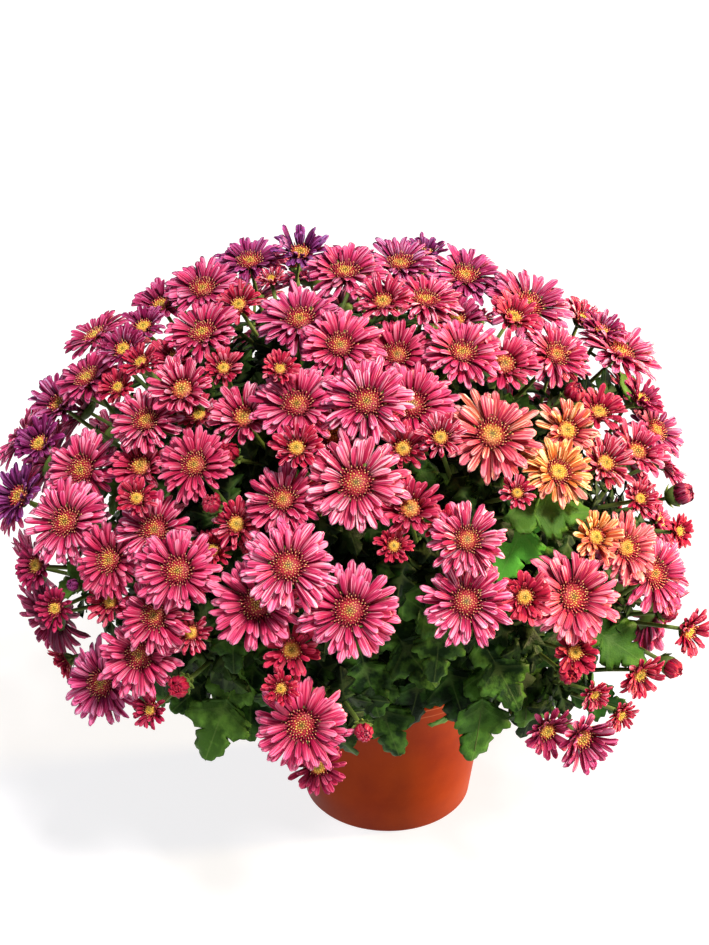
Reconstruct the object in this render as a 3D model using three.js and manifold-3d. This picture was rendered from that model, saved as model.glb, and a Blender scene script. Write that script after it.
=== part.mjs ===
// A pot chrysanthemum: a plastic pot, its soil, five rooted plants with lobed leaves, and the
// flowering sprays that make up the mound. Millimetres, +Z up, the origin at the middle of the
// pot's base, and the side that the mound leans towards on -X.
import * as THREE from "three";
import { mergeVertices } from "three/addons/utils/BufferGeometryUtils.js";
import Module from "manifold-3d";

const wasm = await Module();
wasm.setup();

// ---- Driving dimensions -------------------------------------------------------------------
const GAP = 0.3; // clearance between pieces that touch

const POT = {
  rimRadius: 75,
  baseRadius: 60,
  height: 114.5,
  wall: 2,
  floor: 2.5,
  lipHeight: 3,
  bandHeight: 6, // below the lip
  step: 0.5, // from the wall out to the band, and from the band out to the lip
  sides: 32,
};
const DRAIN = { count: 4, radius: 4, circle: 40, sides: 8 };
const SOIL = { top: 99.5, crown: 5, stemSocket: 26 };

// The mound is an ellipsoid that bloom centres lie on, with a flatter underside.
const MOUND = { centre: new THREE.Vector3(-31, 0, 213.5), across: 228, up: 184, down: 112 };
const HEART = new THREE.Vector3(-12, 0, 148.5); // where the branches fan out from

const PLANT_COUNT = 5;
const PLANT = {
  circle: 34, // the stems stand on it
  stemRadius: 4.4,
  stemRise: 14, // above the soil, to the crown that the branches leave from
  crownRadius: 5.6,
  crownRise: 3,
  branchRadius: 2.4,
  tipRadius: 1.8,
  arches: [12, 22, 4, 32], // how far a branch bends up above its chord, tried in turn
  overRim: 24,
};
const SPRAY_COUNT = 51;
const FORK_DEPTH = 0.27; // how far in from its blooms towards the heart a spray forks
const PEDICEL = { radius: 1.3, hubRadius: 2.2, hubSpread: 0.35, hubRise: 1.8, hubDrop: 2.4 };

// Bloom forms by age: petals, and shares of the bloom's own reach.
const FORMS = {
  open: { petals: 9, notch: 0.34, rise: 0.1, layer: 0.13, tipHalf: 0.38 },
  young: { petals: 7, notch: 0.4, rise: 0.4, layer: 0.08, tipHalf: 0.36 },
};
const OPEN_FROM = 20; // smallest reach of an open bloom
const BUD_UP_TO = 9.5; // largest reach of a closed bud
const BLOOM = { calyxDepth: 5, rootThickness: 2.2, discRise: 3 };

const LEAF = { thickness: 1.1, width: 0.66, droop: 0.2, fold: 0.1, stalkRadius: 1.6 };
const LEAF_NODE = 3.6; // length of branch that a leaf stalk grows from
const BRANCH_LEAVES = {
  at: [0.95, 0.68],
  outward: [0.6, 0.3],
  turns: 8,
  stalk: 7,
  length: 44,
  spread: 14,
};
const BRANCH_RINGS = [0, 0.4, 0.72, 1];
const STALK_SPOTS = [0.3, 0.4, 0.5, 0.6, 0.7, 0.8, 0.9];
const LEAF_SLIDES = [0, -7, 7, -14, 14, -21, -30, -40]; // towards the front if positive
const LEAF_TURNS = [0, 14, -14, 28, -28]; // degrees, tried in turn at each slide
const STRAIGHTEST = 0.3; // least cosine between a stalk and what it carries
const LEAF_SPOTS = [0, 3, 7, 12]; // how many nearer stalk spots are passed over
const NEAREST = { margin: 0.9, step: 4, look: 6 };

const COLOUR = {
  terracotta: 0xb4552a,
  soil: 0x3a2a20,
  green: 0x3f6b32,
  pink: 0xd94f78,
};

// ---- Layout -------------------------------------------------------------------------------
// The flowering face is laid out by eye on a view plane, as seen from a station point in front
// of the pot and above it. Places and sizes there are in view units, from the top left corner.
const VIEW = {
  station: new THREE.Vector3(-24, -1126, 845.5),
  pitch: THREE.MathUtils.degToRad(27.6),
  unitsPerRadian: 1885,
  centre: [354.5, 472.5],
};

// Each row is [across, down, diameter] for its blooms, from the top of the mound to its skirt.
const FACE_ROWS = [
  [[250, 262, 66], [300, 256, 56], [345, 272, 76], [400, 264, 66], [465, 276, 72], [425, 257, 44]],
  [[203, 289, 68], [272, 283, 30], [163, 308, 56], [240, 308, 46], [300, 320, 80], [383, 305, 58]],
  [[425, 300, 66], [528, 305, 80], [512, 320, 52], [455, 324, 56], [580, 322, 48], [340, 346, 76]],
  [[95, 336, 60], [203, 333, 72], [145, 330, 46], [125, 352, 46], [397, 355, 68], [462, 353, 76]],
  [[143, 365, 38], [176, 362, 52], [556, 355, 66], [503, 366, 64], [620, 352, 78], [600, 334, 46]],
  [[88, 378, 64], [120, 390, 40], [183, 392, 62], [224, 371, 40], [280, 372, 36], [571, 397, 26]],
  [[62, 406, 60], [146, 421, 66], [200, 418, 44], [245, 420, 66], [297, 405, 82], [367, 402, 86]],
  [[412, 405, 80], [492, 435, 90], [440, 440, 46], [597, 415, 50], [638, 402, 46], [655, 430, 60]],
  [[42, 446, 50], [82, 470, 76], [142, 468, 60], [195, 465, 68], [230, 455, 27], [297, 450, 50]],
  [[335, 437, 66], [403, 450, 50], [565, 432, 60], [635, 454, 60], [603, 465, 56], [558, 472, 68]],
  [[22, 498, 60], [138, 500, 40], [212, 506, 24], [283, 500, 70], [319, 506, 22], [356, 483, 92]],
  [[410, 510, 62], [516, 495, 35], [637, 500, 40], [677, 495, 28], [522, 459, 38], [675, 532, 34]],
  [[66, 522, 80], [155, 530, 72], [237, 525, 50], [443, 526, 44], [467, 540, 70], [593, 538, 52]],
  [[110, 560, 70], [178, 571, 80], [214, 551, 38], [288, 566, 86], [393, 547, 38], [626, 548, 66]],
  [[40, 566, 46], [75, 586, 16], [251, 546, 30], [654, 574, 72], [573, 597, 88], [523, 597, 50]],
  [[58, 608, 40], [113, 602, 46], [155, 616, 70], [257, 604, 86], [350, 611, 90], [466, 602, 82]],
  [[192, 633, 42], [140, 655, 76], [292, 650, 56], [573, 652, 48], [685, 630, 48], [665, 612, 22]],
  [[102, 683, 76], [181, 685, 28], [282, 688, 36], [567, 673, 28], [637, 672, 46], [668, 665, 26]],
  [[153, 709, 36], [302, 725, 86], [363, 730, 24], [592, 692, 32], [545, 728, 52], [618, 712, 32]],
  [[318, 764, 52], [580, 736, 62]],
];

// The hidden side carries on at the same spacing, on a golden-angle spiral.
const REAR = {
  turns: 170,
  spacing: 45,
  leastReach: 21,
  mostReach: 29,
  fromSine: -0.5,
  turnedAway: 0.02, // from where on the mound's surface counts as hidden
  sink: 7,
};
const GOLDEN_ANGLE = Math.PI * (3 - Math.sqrt(5));
const DEPTH_JITTER = 7; // blooms sit this much in or out of the mound's surface
const SLIDES = [0, -7, 7, -14, 14, -21, 21, -28]; // further steps in and out, tried in turn
const TILT_JITTER = 0.2;
const LIFT = 0.3; // blooms turn up towards the light, and those of the face to the front
const FRONT_PULL = 0.62;

// Leaves that show between and below the blooms: [across, down, length, degrees clockwise from
// the view's right that the tip points to, share of the mound's depth].
const SHOWN_LEAVES = [
  [222, 712, 92, 112, 0.86], [250, 700, 76, 80, 0.8], [196, 690, 60, 140, 0.85],
  [366, 672, 84, 88, 0.72], [408, 650, 84, 52, 0.76], [384, 716, 78, 72, 0.66],
  [326, 660, 60, 105, 0.72], [350, 706, 66, 118, 0.7], [440, 640, 76, 95, 0.8],
  [452, 680, 84, 70, 0.7], [484, 712, 90, 78, 0.72], [500, 670, 80, 60, 0.82],
  [428, 612, 70, 60, 0.84], [530, 690, 66, 85, 0.83], [520, 536, 92, 128, 0.92],
  [545, 512, 80, 22, 0.9], [612, 640, 76, 30, 0.92], [596, 700, 60, 35, 0.86],
  [636, 398, 60, 50, 0.93], [84, 572, 60, 150, 0.9], [308, 594, 52, 100, 0.84],
  [378, 584, 54, 140, 0.76], [500, 588, 46, 80, 0.76], [232, 640, 60, 90, 0.84],
  [424, 474, 40, 60, 0.78], [120, 485, 52, 120, 0.88], [560, 640, 64, 120, 0.84],
  [300, 680, 70, 95, 0.6], [420, 690, 74, 85, 0.58], [465, 655, 70, 100, 0.62],
  [345, 640, 54, 80, 0.6], [395, 700, 70, 100, 0.52], [270, 665, 66, 110, 0.66],
  [505, 640, 66, 80, 0.68],
];

// A repeatable draw from 0 to 1 for the item with this number and purpose.
function draw(number, purpose) {
  const s = Math.sin(number * 12.9898 + purpose * 78.233 + 4.5) * 43758.5453;
  return s - Math.floor(s);
}

function sightLine(across, down) {
  const x = (across - VIEW.centre[0]) / VIEW.unitsPerRadian;
  const y = (VIEW.centre[1] - down) / VIEW.unitsPerRadian;
  const cos = Math.cos(VIEW.pitch);
  const sin = Math.sin(VIEW.pitch);
  return new THREE.Vector3(x, cos + y * sin, y * cos - sin);
}

// Where a sight line meets the mound scaled by depth, or passes it nearest.
function onMound(across, down, depth) {
  const line = sightLine(across, down);
  const meet = (vertical) => {
    const scale = new THREE.Vector3(1 / MOUND.across, 1 / MOUND.across, 1 / vertical);
    scale.divideScalar(depth);
    const from = VIEW.station.clone().sub(MOUND.centre).multiply(scale);
    const along = line.clone().multiply(scale);
    const nearest = -from.dot(along) / along.lengthSq();
    const miss = from.clone().addScaledVector(along, nearest).lengthSq();
    const back = miss < 1 ? Math.sqrt((1 - miss) / along.lengthSq()) : 0;
    return VIEW.station.clone().addScaledVector(line, nearest - back);
  };
  const upper = meet(MOUND.up);
  return upper.z >= MOUND.centre.z ? upper : meet(MOUND.down);
}

function outwardAt(point) {
  const off = point.clone().sub(MOUND.centre);
  const vertical = off.z > 0 ? MOUND.up : MOUND.down;
  return new THREE.Vector3(
    off.x / MOUND.across ** 2,
    off.y / MOUND.across ** 2,
    off.z / vertical ** 2,
  ).normalize();
}

// ---- Clearances ---------------------------------------------------------------------------
// Heads, rods and leaves keep clear of each other by sample points. Each has a girth round its
// samples and a measure of how far a point lies outside it.
function thing(samples, girth, gap) {
  const middle = new THREE.Vector3();
  for (const sample of samples) middle.addScaledVector(sample, 1 / samples.length);
  const radius = Math.max(...samples.map((sample) => sample.distanceTo(middle)));
  return { samples, girth, gap, middle, radius };
}

function crossing(a, b) {
  if (a.middle.distanceTo(b.middle) > a.radius + b.radius + NEAREST.look) return false;
  return (
    a.samples.some((point) => b.gap(point) < a.girth + NEAREST.margin) ||
    b.samples.some((point) => a.gap(point) < b.girth + NEAREST.margin)
  );
}

function mix(from, to, share) {
  return from + (to - from) * share;
}

// Two directions square to an axis.
function across(axis) {
  const first = new THREE.Vector3(-axis.z, 0, axis.x);
  if (first.lengthSq() < 0.01) first.set(0, axis.z, -axis.y);
  first.normalize();
  return [first, axis.clone().cross(first)];
}

function formOf(reach) {
  return reach < OPEN_FROM ? FORMS.young : FORMS.open;
}

// Heights of a head along its axis: its foot and crown in the middle, and both at the edge.
function headHeights(reach) {
  if (reach < BUD_UP_TO) {
    return { foot: -reach, crown: 1.3 * reach, edgeLow: -0.1 * reach, edgeTop: -0.1 * reach };
  }
  const form = formOf(reach);
  const foot = -BLOOM.calyxDepth * Math.min(1, reach / OPEN_FROM);
  const edgeLow = reach * form.rise;
  const crown = mix(foot, edgeLow, form.notch) + BLOOM.rootThickness + BLOOM.discRise;
  return { foot, crown, edgeLow, edgeTop: edgeLow + reach * form.layer };
}

function headThing(bloom) {
  const { place, axis, reach } = bloom;
  const { foot, crown, edgeLow, edgeTop } = headHeights(reach);
  const gap = (point) => {
    const off = point.clone().sub(place);
    const height = off.dot(axis);
    const flat = Math.sqrt(Math.max(0, off.lengthSq() - height * height));
    const share = Math.min(1, flat / reach);
    const low = mix(foot, edgeLow, share);
    const top = mix(crown, edgeTop, share);
    return Math.max(low - height, height - top, flat - reach);
  };
  const [side, other] = across(axis);
  const samples = [foot, crown].map((h) => place.clone().addScaledVector(axis, h));
  for (const share of [0.55, 0.8, 1]) {
    const height = (mix(foot, edgeLow, share) + mix(crown, edgeTop, share)) / 2;
    for (let k = 0; k < 12; k++) {
      const angle = (k * Math.PI) / 6;
      const point = place.clone().addScaledVector(axis, height);
      point.addScaledVector(side, share * reach * Math.cos(angle));
      samples.push(point.addScaledVector(other, share * reach * Math.sin(angle)));
    }
  }
  return thing(samples, 0.6, gap);
}

function rodThing(points, girth) {
  const samples = [];
  points.slice(1).forEach((to, i) => {
    const from = points[i];
    const steps = Math.ceil(from.distanceTo(to) / NEAREST.step);
    for (let k = 0; k <= steps; k++) samples.push(from.clone().lerp(to, k / steps));
  });
  const gap = (point) => {
    let least = Infinity;
    points.slice(1).forEach((to, i) => {
      const run = to.clone().sub(points[i]);
      const share = point.clone().sub(points[i]).dot(run) / run.lengthSq();
      const foot = points[i].clone().addScaledVector(run, Math.min(1, Math.max(0, share)));
      least = Math.min(least, foot.distanceTo(point));
    });
    return least - girth;
  };
  return thing(samples, girth, gap);
}

function leafThing(leaf) {
  const [along, side, normal] = leafAxes(leaf);
  const half = (LEAF.width * leaf.length) / 2;
  const at = (share, out) => leaf.base.clone()
    .addScaledVector(along, share * leaf.length)
    .addScaledVector(side, out * half)
    .addScaledVector(normal, leafRise(leaf.length, share, Math.abs(out)));
  const samples = [0.2, 0.4, 0.6, 0.8, 1].map((share) => at(share, 0));
  for (const share of [0.25, 0.5, 0.72]) {
    for (const out of [-0.9, -0.45, 0.45, 0.9]) samples.push(at(share, out));
  }
  const gap = (point) => {
    const off = point.clone().sub(leaf.base);
    const share = off.dot(along) / leaf.length;
    const out = Math.abs(off.dot(side)) / half;
    const within = Math.min(1, Math.max(0, share));
    const wide = Math.sqrt(1 - (2 * within - 1) ** 2);
    return Math.max(
      -share * leaf.length,
      (share - 1) * leaf.length,
      (out - wide) * half,
      Math.abs(off.dot(normal) - leafRise(leaf.length, within, Math.min(1, out))) - 1,
    );
  };
  return thing(samples, 0.6, gap);
}

// The pot counts as solid up to its rim.
function potGap(point) {
  return Math.max(point.z - POT.height, Math.hypot(point.x, point.y) - POT.rimRadius);
}

function inPot(item) {
  return item.samples.some((point) => potGap(point) < item.girth + 3);
}

// The first of some things that is clear of the others, or the one that crosses fewest.
function clearest(options, others) {
  let best = null;
  for (const option of options) {
    const hits = option.things.reduce((sum, item) =>
      sum + others.filter((other) => crossing(item, other)).length + (inPot(item) ? 3 : 0), 0);
    if (!best || hits < best.hits) best = { ...option, hits };
    if (hits === 0) break;
  }
  return best;
}

// ---- Blooms and their sprays --------------------------------------------------------------
// A bloom at a point on the mound, jittered in depth and tilt. Its axis is the way it faces.
function bloomAt(point, reach, number, frontPull) {
  const out = outwardAt(point);
  const toFront = VIEW.station.clone().sub(point).normalize();
  const axis = out.clone().addScaledVector(toFront, frontPull);
  axis.x += TILT_JITTER * (2 * draw(number, 1) - 1);
  axis.y += TILT_JITTER * (2 * draw(number, 2) - 1);
  axis.z += TILT_JITTER * (2 * draw(number, 3) - 1) + LIFT;
  const slide = frontPull > 0 ? toFront : out;
  axis.normalize();
  const fromHeart = point.clone().sub(HEART).normalize();
  const lack = STRAIGHTEST - axis.dot(fromHeart);
  if (lack > 0) axis.addScaledVector(fromHeart, 1.5 * lack);
  const place = point.clone().addScaledVector(slide, DEPTH_JITTER * (2 * draw(number, 4) - 1));
  return { place, slide, axis: axis.normalize(), reach, spin: draw(number, 5) * Math.PI, number };
}

function faceBlooms() {
  return FACE_ROWS.flat().map(([right, down, diameter], number) => {
    const point = onMound(right, down, 1);
    const distance = point.distanceTo(VIEW.station);
    const reach = ((diameter / 2) * distance) / VIEW.unitsPerRadian;
    return bloomAt(point, reach, number, FRONT_PULL);
  });
}

function rearBlooms(face) {
  const made = [];
  for (let turn = 0; turn < REAR.turns; turn++) {
    const sine = REAR.fromSine + ((1 - REAR.fromSine) * (turn + 0.5)) / REAR.turns;
    const level = Math.sqrt(1 - sine * sine);
    const angle = turn * GOLDEN_ANGLE;
    const vertical = sine > 0 ? MOUND.up : MOUND.down;
    const point = new THREE.Vector3(
      MOUND.centre.x + MOUND.across * level * Math.cos(angle),
      MOUND.centre.y + MOUND.across * level * Math.sin(angle),
      MOUND.centre.z + vertical * sine,
    );
    const out = outwardAt(point);
    const hidden = out.dot(VIEW.station.clone().sub(point).normalize()) < REAR.turnedAway;
    const clear = [...face, ...made].every((b) => b.place.distanceTo(point) > REAR.spacing);
    if (!hidden || !clear) continue;
    const number = face.length + made.length;
    const size = draw(number, 6);
    const reach = mix(REAR.leastReach, REAR.mostReach, size);
    point.addScaledVector(out, -REAR.sink);
    made.push(bloomAt(point, size < 0.16 ? reach * 0.6 : reach, number, 0));
  }
  return made;
}

// The largest blooms take their places first, and the others slide until they are clear.
function settled(blooms) {
  const order = [...blooms].sort((a, b) => b.reach - a.reach);
  const placed = [];
  for (const bloom of order) {
    const options = SLIDES.map((step) => {
      const place = bloom.place.clone().addScaledVector(bloom.slide, step);
      const moved = { ...bloom, place };
      return { bloom: moved, things: [headThing(moved)] };
    });
    placed.push(clearest(options, placed.map((p) => p.things[0])));
  }
  return placed.map((p) => ({ ...p.bloom, head: p.things[0] }));
}

// Blooms go to the spray whose first bloom is nearest; first blooms are spread far apart.
function groupInSprays(blooms) {
  const firsts = [blooms[0]];
  const spare = (b) => Math.min(...firsts.map((f) => f.place.distanceTo(b.place)));
  while (firsts.length < SPRAY_COUNT) {
    firsts.push(blooms.reduce((best, b) => (spare(b) > spare(best) ? b : best)));
  }
  const sprays = firsts.map(() => []);
  for (const bloom of blooms) {
    const far = firsts.map((f) => f.place.distanceTo(bloom.place));
    sprays[far.indexOf(Math.min(...far))].push(bloom);
  }
  return sprays.map((members) => {
    const middle = new THREE.Vector3();
    for (const bloom of members) middle.addScaledVector(bloom.place, 1 / members.length);
    const central = (b) => b.place.distanceTo(middle);
    members.sort((a, b) => central(a) - central(b));
    return { members, fork: middle.clone().lerp(HEART, FORK_DEPTH) };
  });
}

// The foot of a bloom's head, where its pedicel meets it.
function headFoot(bloom) {
  return bloom.place.clone().addScaledVector(bloom.axis, headHeights(bloom.reach).foot);
}

// ---- Stems, branches and leaves -----------------------------------------------------------
function plantFoot(index) {
  const angle = (index + 0.25) * ((2 * Math.PI) / PLANT_COUNT);
  return new THREE.Vector3(
    PLANT.circle * Math.cos(angle), PLANT.circle * Math.sin(angle), SOIL.top - SOIL.stemSocket,
  );
}

function plantOf(point) {
  const far = [];
  for (let index = 0; index < PLANT_COUNT; index++) {
    const foot = plantFoot(index);
    far.push(Math.hypot(point.x - 3 * foot.x, point.y - 3 * foot.y));
  }
  return far.indexOf(Math.min(...far));
}

function plantCrown(index) {
  return plantFoot(index).setZ(SOIL.top + PLANT.stemRise);
}

// One branch a spray, from its plant's crown over the pot's rim to the fork of the spray.
function branchesOf(sprays) {
  const inTheWay = sprays.flatMap((spray, number) => [
    ...spray.members.map((bloom) => ({ ...bloom.head, number })),
    ...spray.members.map((bloom) =>
      ({ ...rodThing([spray.fork, headFoot(bloom)], PEDICEL.radius), number })),
  ]);
  return sprays.map(({ fork }, number) => {
    const plant = plantOf(fork);
    const start = plantCrown(plant);
    start.z += PLANT.crownRise;
    const options = PLANT.arches.map((arch) => {
      const bend = start.clone().lerp(fork, 0.42);
      bend.z = Math.max((start.z + fork.z) / 2 + arch, POT.height + PLANT.overRim);
      const approach = fork.clone().sub(bend).normalize();
      const end = fork.clone().addScaledVector(approach, -PEDICEL.hubDrop - GAP);
      const curve = new THREE.QuadraticBezierCurve3(start, bend, end);
      const points = BRANCH_RINGS.map((at) => curve.getPoint(at));
      return { curve, points, approach, things: [] };
    });
    const others = inTheWay.filter((item) => item.number !== number);
    for (const option of options) option.things = [rodThing(option.points.slice(1), 2)];
    return { ...clearest(options, others), number, plant };
  });
}

function leafAxes(leaf) {
  const normal = leaf.up.clone().addScaledVector(leaf.along, -leaf.up.dot(leaf.along));
  normal.normalize();
  return [leaf.along, normal.clone().cross(leaf.along), normal];
}

// How far a leaf's face lies above its base plane, for shares of the length and half width.
function leafRise(length, along, out) {
  return length * (LEAF.fold * out - LEAF.droop * along * along);
}

// The ways a leaf can stand round its branch at one height.
function branchLeafOptions(branch, order) {
  const at = BRANCH_LEAVES.at[order];
  const from = branch.curve.getPoint(at);
  const out = outwardAt(from);
  const up = out.clone().add(new THREE.Vector3(0, 0, 0.6)).normalize();
  const side = branch.curve.getTangent(at).cross(up).normalize();
  const other = up.clone().cross(side);
  const item = 2 * branch.number + order;
  const length = BRANCH_LEAVES.length + BRANCH_LEAVES.spread * draw(item, 10);
  const options = [];
  for (let turn = 0; turn < BRANCH_LEAVES.turns; turn++) {
    const angle = (item + turn) * GOLDEN_ANGLE;
    const along = side.clone().multiplyScalar(0.8 * Math.cos(angle));
    along.addScaledVector(other, 0.8 * Math.sin(angle));
    along.addScaledVector(out, BRANCH_LEAVES.outward[order]).normalize();
    const base = from.clone().addScaledVector(along, BRANCH_LEAVES.stalk);
    const leaf = { base, along, up, length };
    options.push({ leaf, branch: branch.number, at, things: [leafThing(leaf)] });
  }
  return options;
}

// A shown leaf at one depth and turn, on a stalk from one of the nearest branches.
function shownLeaf([right, down, span, degrees, depth], slide, turn, branches) {
  const middle = onMound(right, down, depth);
  const scale = middle.distanceTo(VIEW.station) / VIEW.unitsPerRadian;
  const angle = THREE.MathUtils.degToRad(degrees + turn);
  const step = 0.5 * span;
  const tip = sightLine(right + step * Math.cos(angle), down + step * Math.sin(angle));
  const root = sightLine(right - step * Math.cos(angle), down - step * Math.sin(angle));
  const out = outwardAt(middle);
  const along = tip.normalize().sub(root.normalize()).normalize();
  along.addScaledVector(out, 0.12).normalize();
  const up = out.clone().add(new THREE.Vector3(0, -0.3, 0.5)).normalize();
  const length = span * scale * 1.08;
  const toFront = VIEW.station.clone().sub(middle).normalize();
  const base = middle.addScaledVector(along, -length / 2).addScaledVector(toFront, slide);
  // The stalk comes from behind the leaf's base, so that it need not double back.
  const behind = (point) => {
    const off = base.clone().sub(point);
    return off.dot(along) > STRAIGHTEST * off.length();
  };
  const spots = branches.flatMap((branch) =>
    STALK_SPOTS.map((at) => {
      const point = branch.curve.getPoint(at);
      return { branch: branch.number, at, point, far: point.distanceTo(base) };
    })).filter(({ point }) => behind(point));
  spots.sort((a, b) => a.far - b.far);
  const leaf = { base, along, up, length };
  return LEAF_SPOTS.filter((rank) => rank < spots.length).map((rank) => {
    const { branch, at, point } = spots[rank];
    const stalk = rodThing([point.clone().lerp(base, 0.2), base], LEAF.stalkRadius);
    return { leaf, branch, at, things: [leafThing(leaf), stalk] };
  });
}

// Every leaf: those that show, and those of the branches where there is room.
function leavesOf(sprays, branches) {
  const inTheWay = sprays.flatMap((spray) => [
    ...spray.members.map((bloom) => bloom.head),
    ...spray.members.map((bloom) => rodThing([spray.fork, headFoot(bloom)], PEDICEL.radius)),
  ]);
  const rods = branches.map((branch) => rodThing(branch.points, PLANT.branchRadius));
  const leaves = [];
  const taken = (own) => [
    ...inTheWay,
    ...rods.filter((rod, number) => number !== own),
    ...leaves.flatMap((leaf) => leaf.things),
  ];
  for (const row of SHOWN_LEAVES) {
    const options = LEAF_SLIDES.flatMap((slide) =>
      LEAF_TURNS.flatMap((turn) => shownLeaf(row, slide, turn, branches)));
    leaves.push(clearest(options, taken(-1)));
  }
  for (const order of [0, 1]) {
    for (const branch of branches) {
      const best = clearest(branchLeafOptions(branch, order), taken(branch.number));
      if (best.hits === 0) leaves.push(best);
    }
  }
  return leaves;
}

// ---- Solids -------------------------------------------------------------------------------
function solidOf(geometry) {
  const bare = geometry.clone();
  for (const name of Object.keys(bare.attributes)) {
    if (name !== "position") bare.deleteAttribute(name);
  }
  const merged = mergeVertices(bare, 1e-4);
  return new wasm.Manifold(
    new wasm.Mesh({
      numProp: 3,
      vertProperties: merged.attributes.position.array,
      triVerts: new Uint32Array(merged.index.array),
    }),
  );
}

function geometryOf(solid) {
  const mesh = solid.getMesh();
  const geometry = new THREE.BufferGeometry();
  geometry.setAttribute("position", new THREE.BufferAttribute(mesh.vertProperties, 3));
  geometry.setIndex(new THREE.BufferAttribute(mesh.triVerts, 1));
  const flat = geometry.toNonIndexed();
  flat.computeVertexNormals();
  return flat;
}

function surface(points, faces) {
  const geometry = new THREE.BufferGeometry().setFromPoints(points);
  return geometry.setIndex(faces.flat());
}

// A skin that grows from ring to ring. A ring lists point numbers, anticlockwise as seen from
// where it grows to.
function newSkin() {
  return { points: [], faces: [] };
}

function addRing(skin, points) {
  const first = skin.points.length;
  skin.points.push(...points);
  return points.map((_, k) => first + k);
}

// The side walls between two rings of equal count, leaving out the wall that something grows from.
function addWalls(skin, from, to, without) {
  const count = from.length;
  for (let k = 0; k < count; k++) {
    if (k === without) continue;
    const next = (k + 1) % count;
    skin.faces.push([from[k], from[next], to[next]], [from[k], to[next], to[k]]);
  }
}

function addCap(skin, ring) {
  for (let k = 1; k + 1 < ring.length; k++) skin.faces.push([ring[0], ring[k], ring[k + 1]]);
}

// Turns a ring's list until its points lie nearest to those of the ring it grows from.
function leastTwist(skin, from, ring) {
  let best = null;
  for (let shift = 0; shift < ring.length; shift++) {
    const turned = [...ring.slice(shift), ...ring.slice(0, shift)];
    const reach = (number, k) => skin.points[number].distanceToSquared(skin.points[from[k]]);
    const far = turned.reduce((sum, number, k) => sum + reach(number, k), 0);
    if (!best || far < best.far) best = { turned, far };
  }
  return best.turned;
}

function circle(middle, axis, radius, count, turn = 0) {
  const [side, other] = across(axis);
  const points = [];
  for (let k = 0; k < count; k++) {
    const angle = turn + (2 * Math.PI * k) / count;
    const at = middle.clone().addScaledVector(side, radius * Math.cos(angle));
    points.push(at.addScaledVector(other, radius * Math.sin(angle)));
  }
  return points;
}

function skinSolid(skin) {
  return solidOf(surface(skin.points, skin.faces));
}

// A plain tapering rod, as used to cut clear of stalks and branches.
function rodSolid(points, fromRadius, toRadius, longer) {
  const skin = newSkin();
  const last = points.length - 1;
  const axis = points[last].clone().sub(points[0]).normalize();
  let ring = null;
  points.forEach((point, i) => {
    const at = point.clone();
    if (i === 0) at.addScaledVector(axis, -longer);
    if (i === last) at.addScaledVector(axis, longer);
    const next = addRing(skin, circle(at, axis, mix(fromRadius, toRadius, i / last), 5));
    if (ring) addWalls(skin, ring, next);
    else addCap(skin, [...next].reverse());
    ring = next;
  });
  addCap(skin, ring);
  return skinSolid(skin);
}

// What later nodes are cut back from: a shape at its true size, and a fuller one.
function rodCutter(points, fromRadius, toRadius) {
  const more = 1.4 * GAP;
  return {
    core: rodSolid(points, fromRadius, toRadius, 0),
    fuller: rodSolid(points, fromRadius + more, toRadius + more, more),
  };
}

function near(a, b) {
  const one = a.boundingBox();
  const two = b.boundingBox();
  return [0, 1, 2].every((k) => one.min[k] <= two.max[k] && two.min[k] <= one.max[k]);
}

function meets(a, b) {
  return near(a, b) && !a.intersect(b).isEmpty();
}

// A node's body, cut back from whatever it would cross of the earlier nodes.
function cutClear(solid, earlier) {
  let whole = solid;
  for (const node of earlier) {
    if (!meets(solid, node.solid)) continue;
    for (const cutter of node.cutters) {
      if (meets(solid, cutter.core)) whole = whole.subtract(cutter.fuller);
    }
  }
  const bodies = whole.decompose();
  return bodies.reduce((best, b) => (b.volume() > best.volume() ? b : best));
}

// ---- Pot and soil -------------------------------------------------------------------------
function bodyRadius(z) {
  const lipFoot = POT.height - POT.lipHeight;
  const top = POT.rimRadius - 2 * POT.step;
  return POT.baseRadius + ((top - POT.baseRadius) * z) / lipFoot;
}

function lathe(profile, sides) {
  return new THREE.LatheGeometry(
    profile.map(([r, z]) => new THREE.Vector2(r, z)), sides,
  ).rotateX(Math.PI / 2);
}

function potSolid() {
  const lipFoot = POT.height - POT.lipHeight;
  const bandFoot = lipFoot - POT.bandHeight;
  const inside = bodyRadius(POT.floor) - POT.wall;
  const body = lathe([
    [0, 0],
    [POT.baseRadius, 0],
    [bodyRadius(bandFoot), bandFoot],
    [bodyRadius(bandFoot) + POT.step, bandFoot],
    [POT.rimRadius - POT.step, lipFoot],
    [POT.rimRadius, lipFoot],
    [POT.rimRadius, POT.height],
    [POT.rimRadius - POT.wall, POT.height],
    [inside, POT.floor],
    [0, POT.floor],
  ], POT.sides);
  let pot = solidOf(body);
  for (let i = 0; i < DRAIN.count; i++) {
    const angle = ((i + 0.5) * 2 * Math.PI) / DRAIN.count;
    const hole = new THREE.CylinderGeometry(DRAIN.radius, DRAIN.radius, 10, DRAIN.sides);
    hole.rotateX(Math.PI / 2);
    hole.translate(DRAIN.circle * Math.cos(angle), DRAIN.circle * Math.sin(angle), 0);
    pot = pot.subtract(solidOf(hole));
  }
  return pot;
}

function insideRadius(z) {
  const low = bodyRadius(POT.floor) - POT.wall;
  const share = (z - POT.floor) / (POT.height - POT.floor);
  return low + (POT.rimRadius - POT.wall - low) * share;
}

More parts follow.
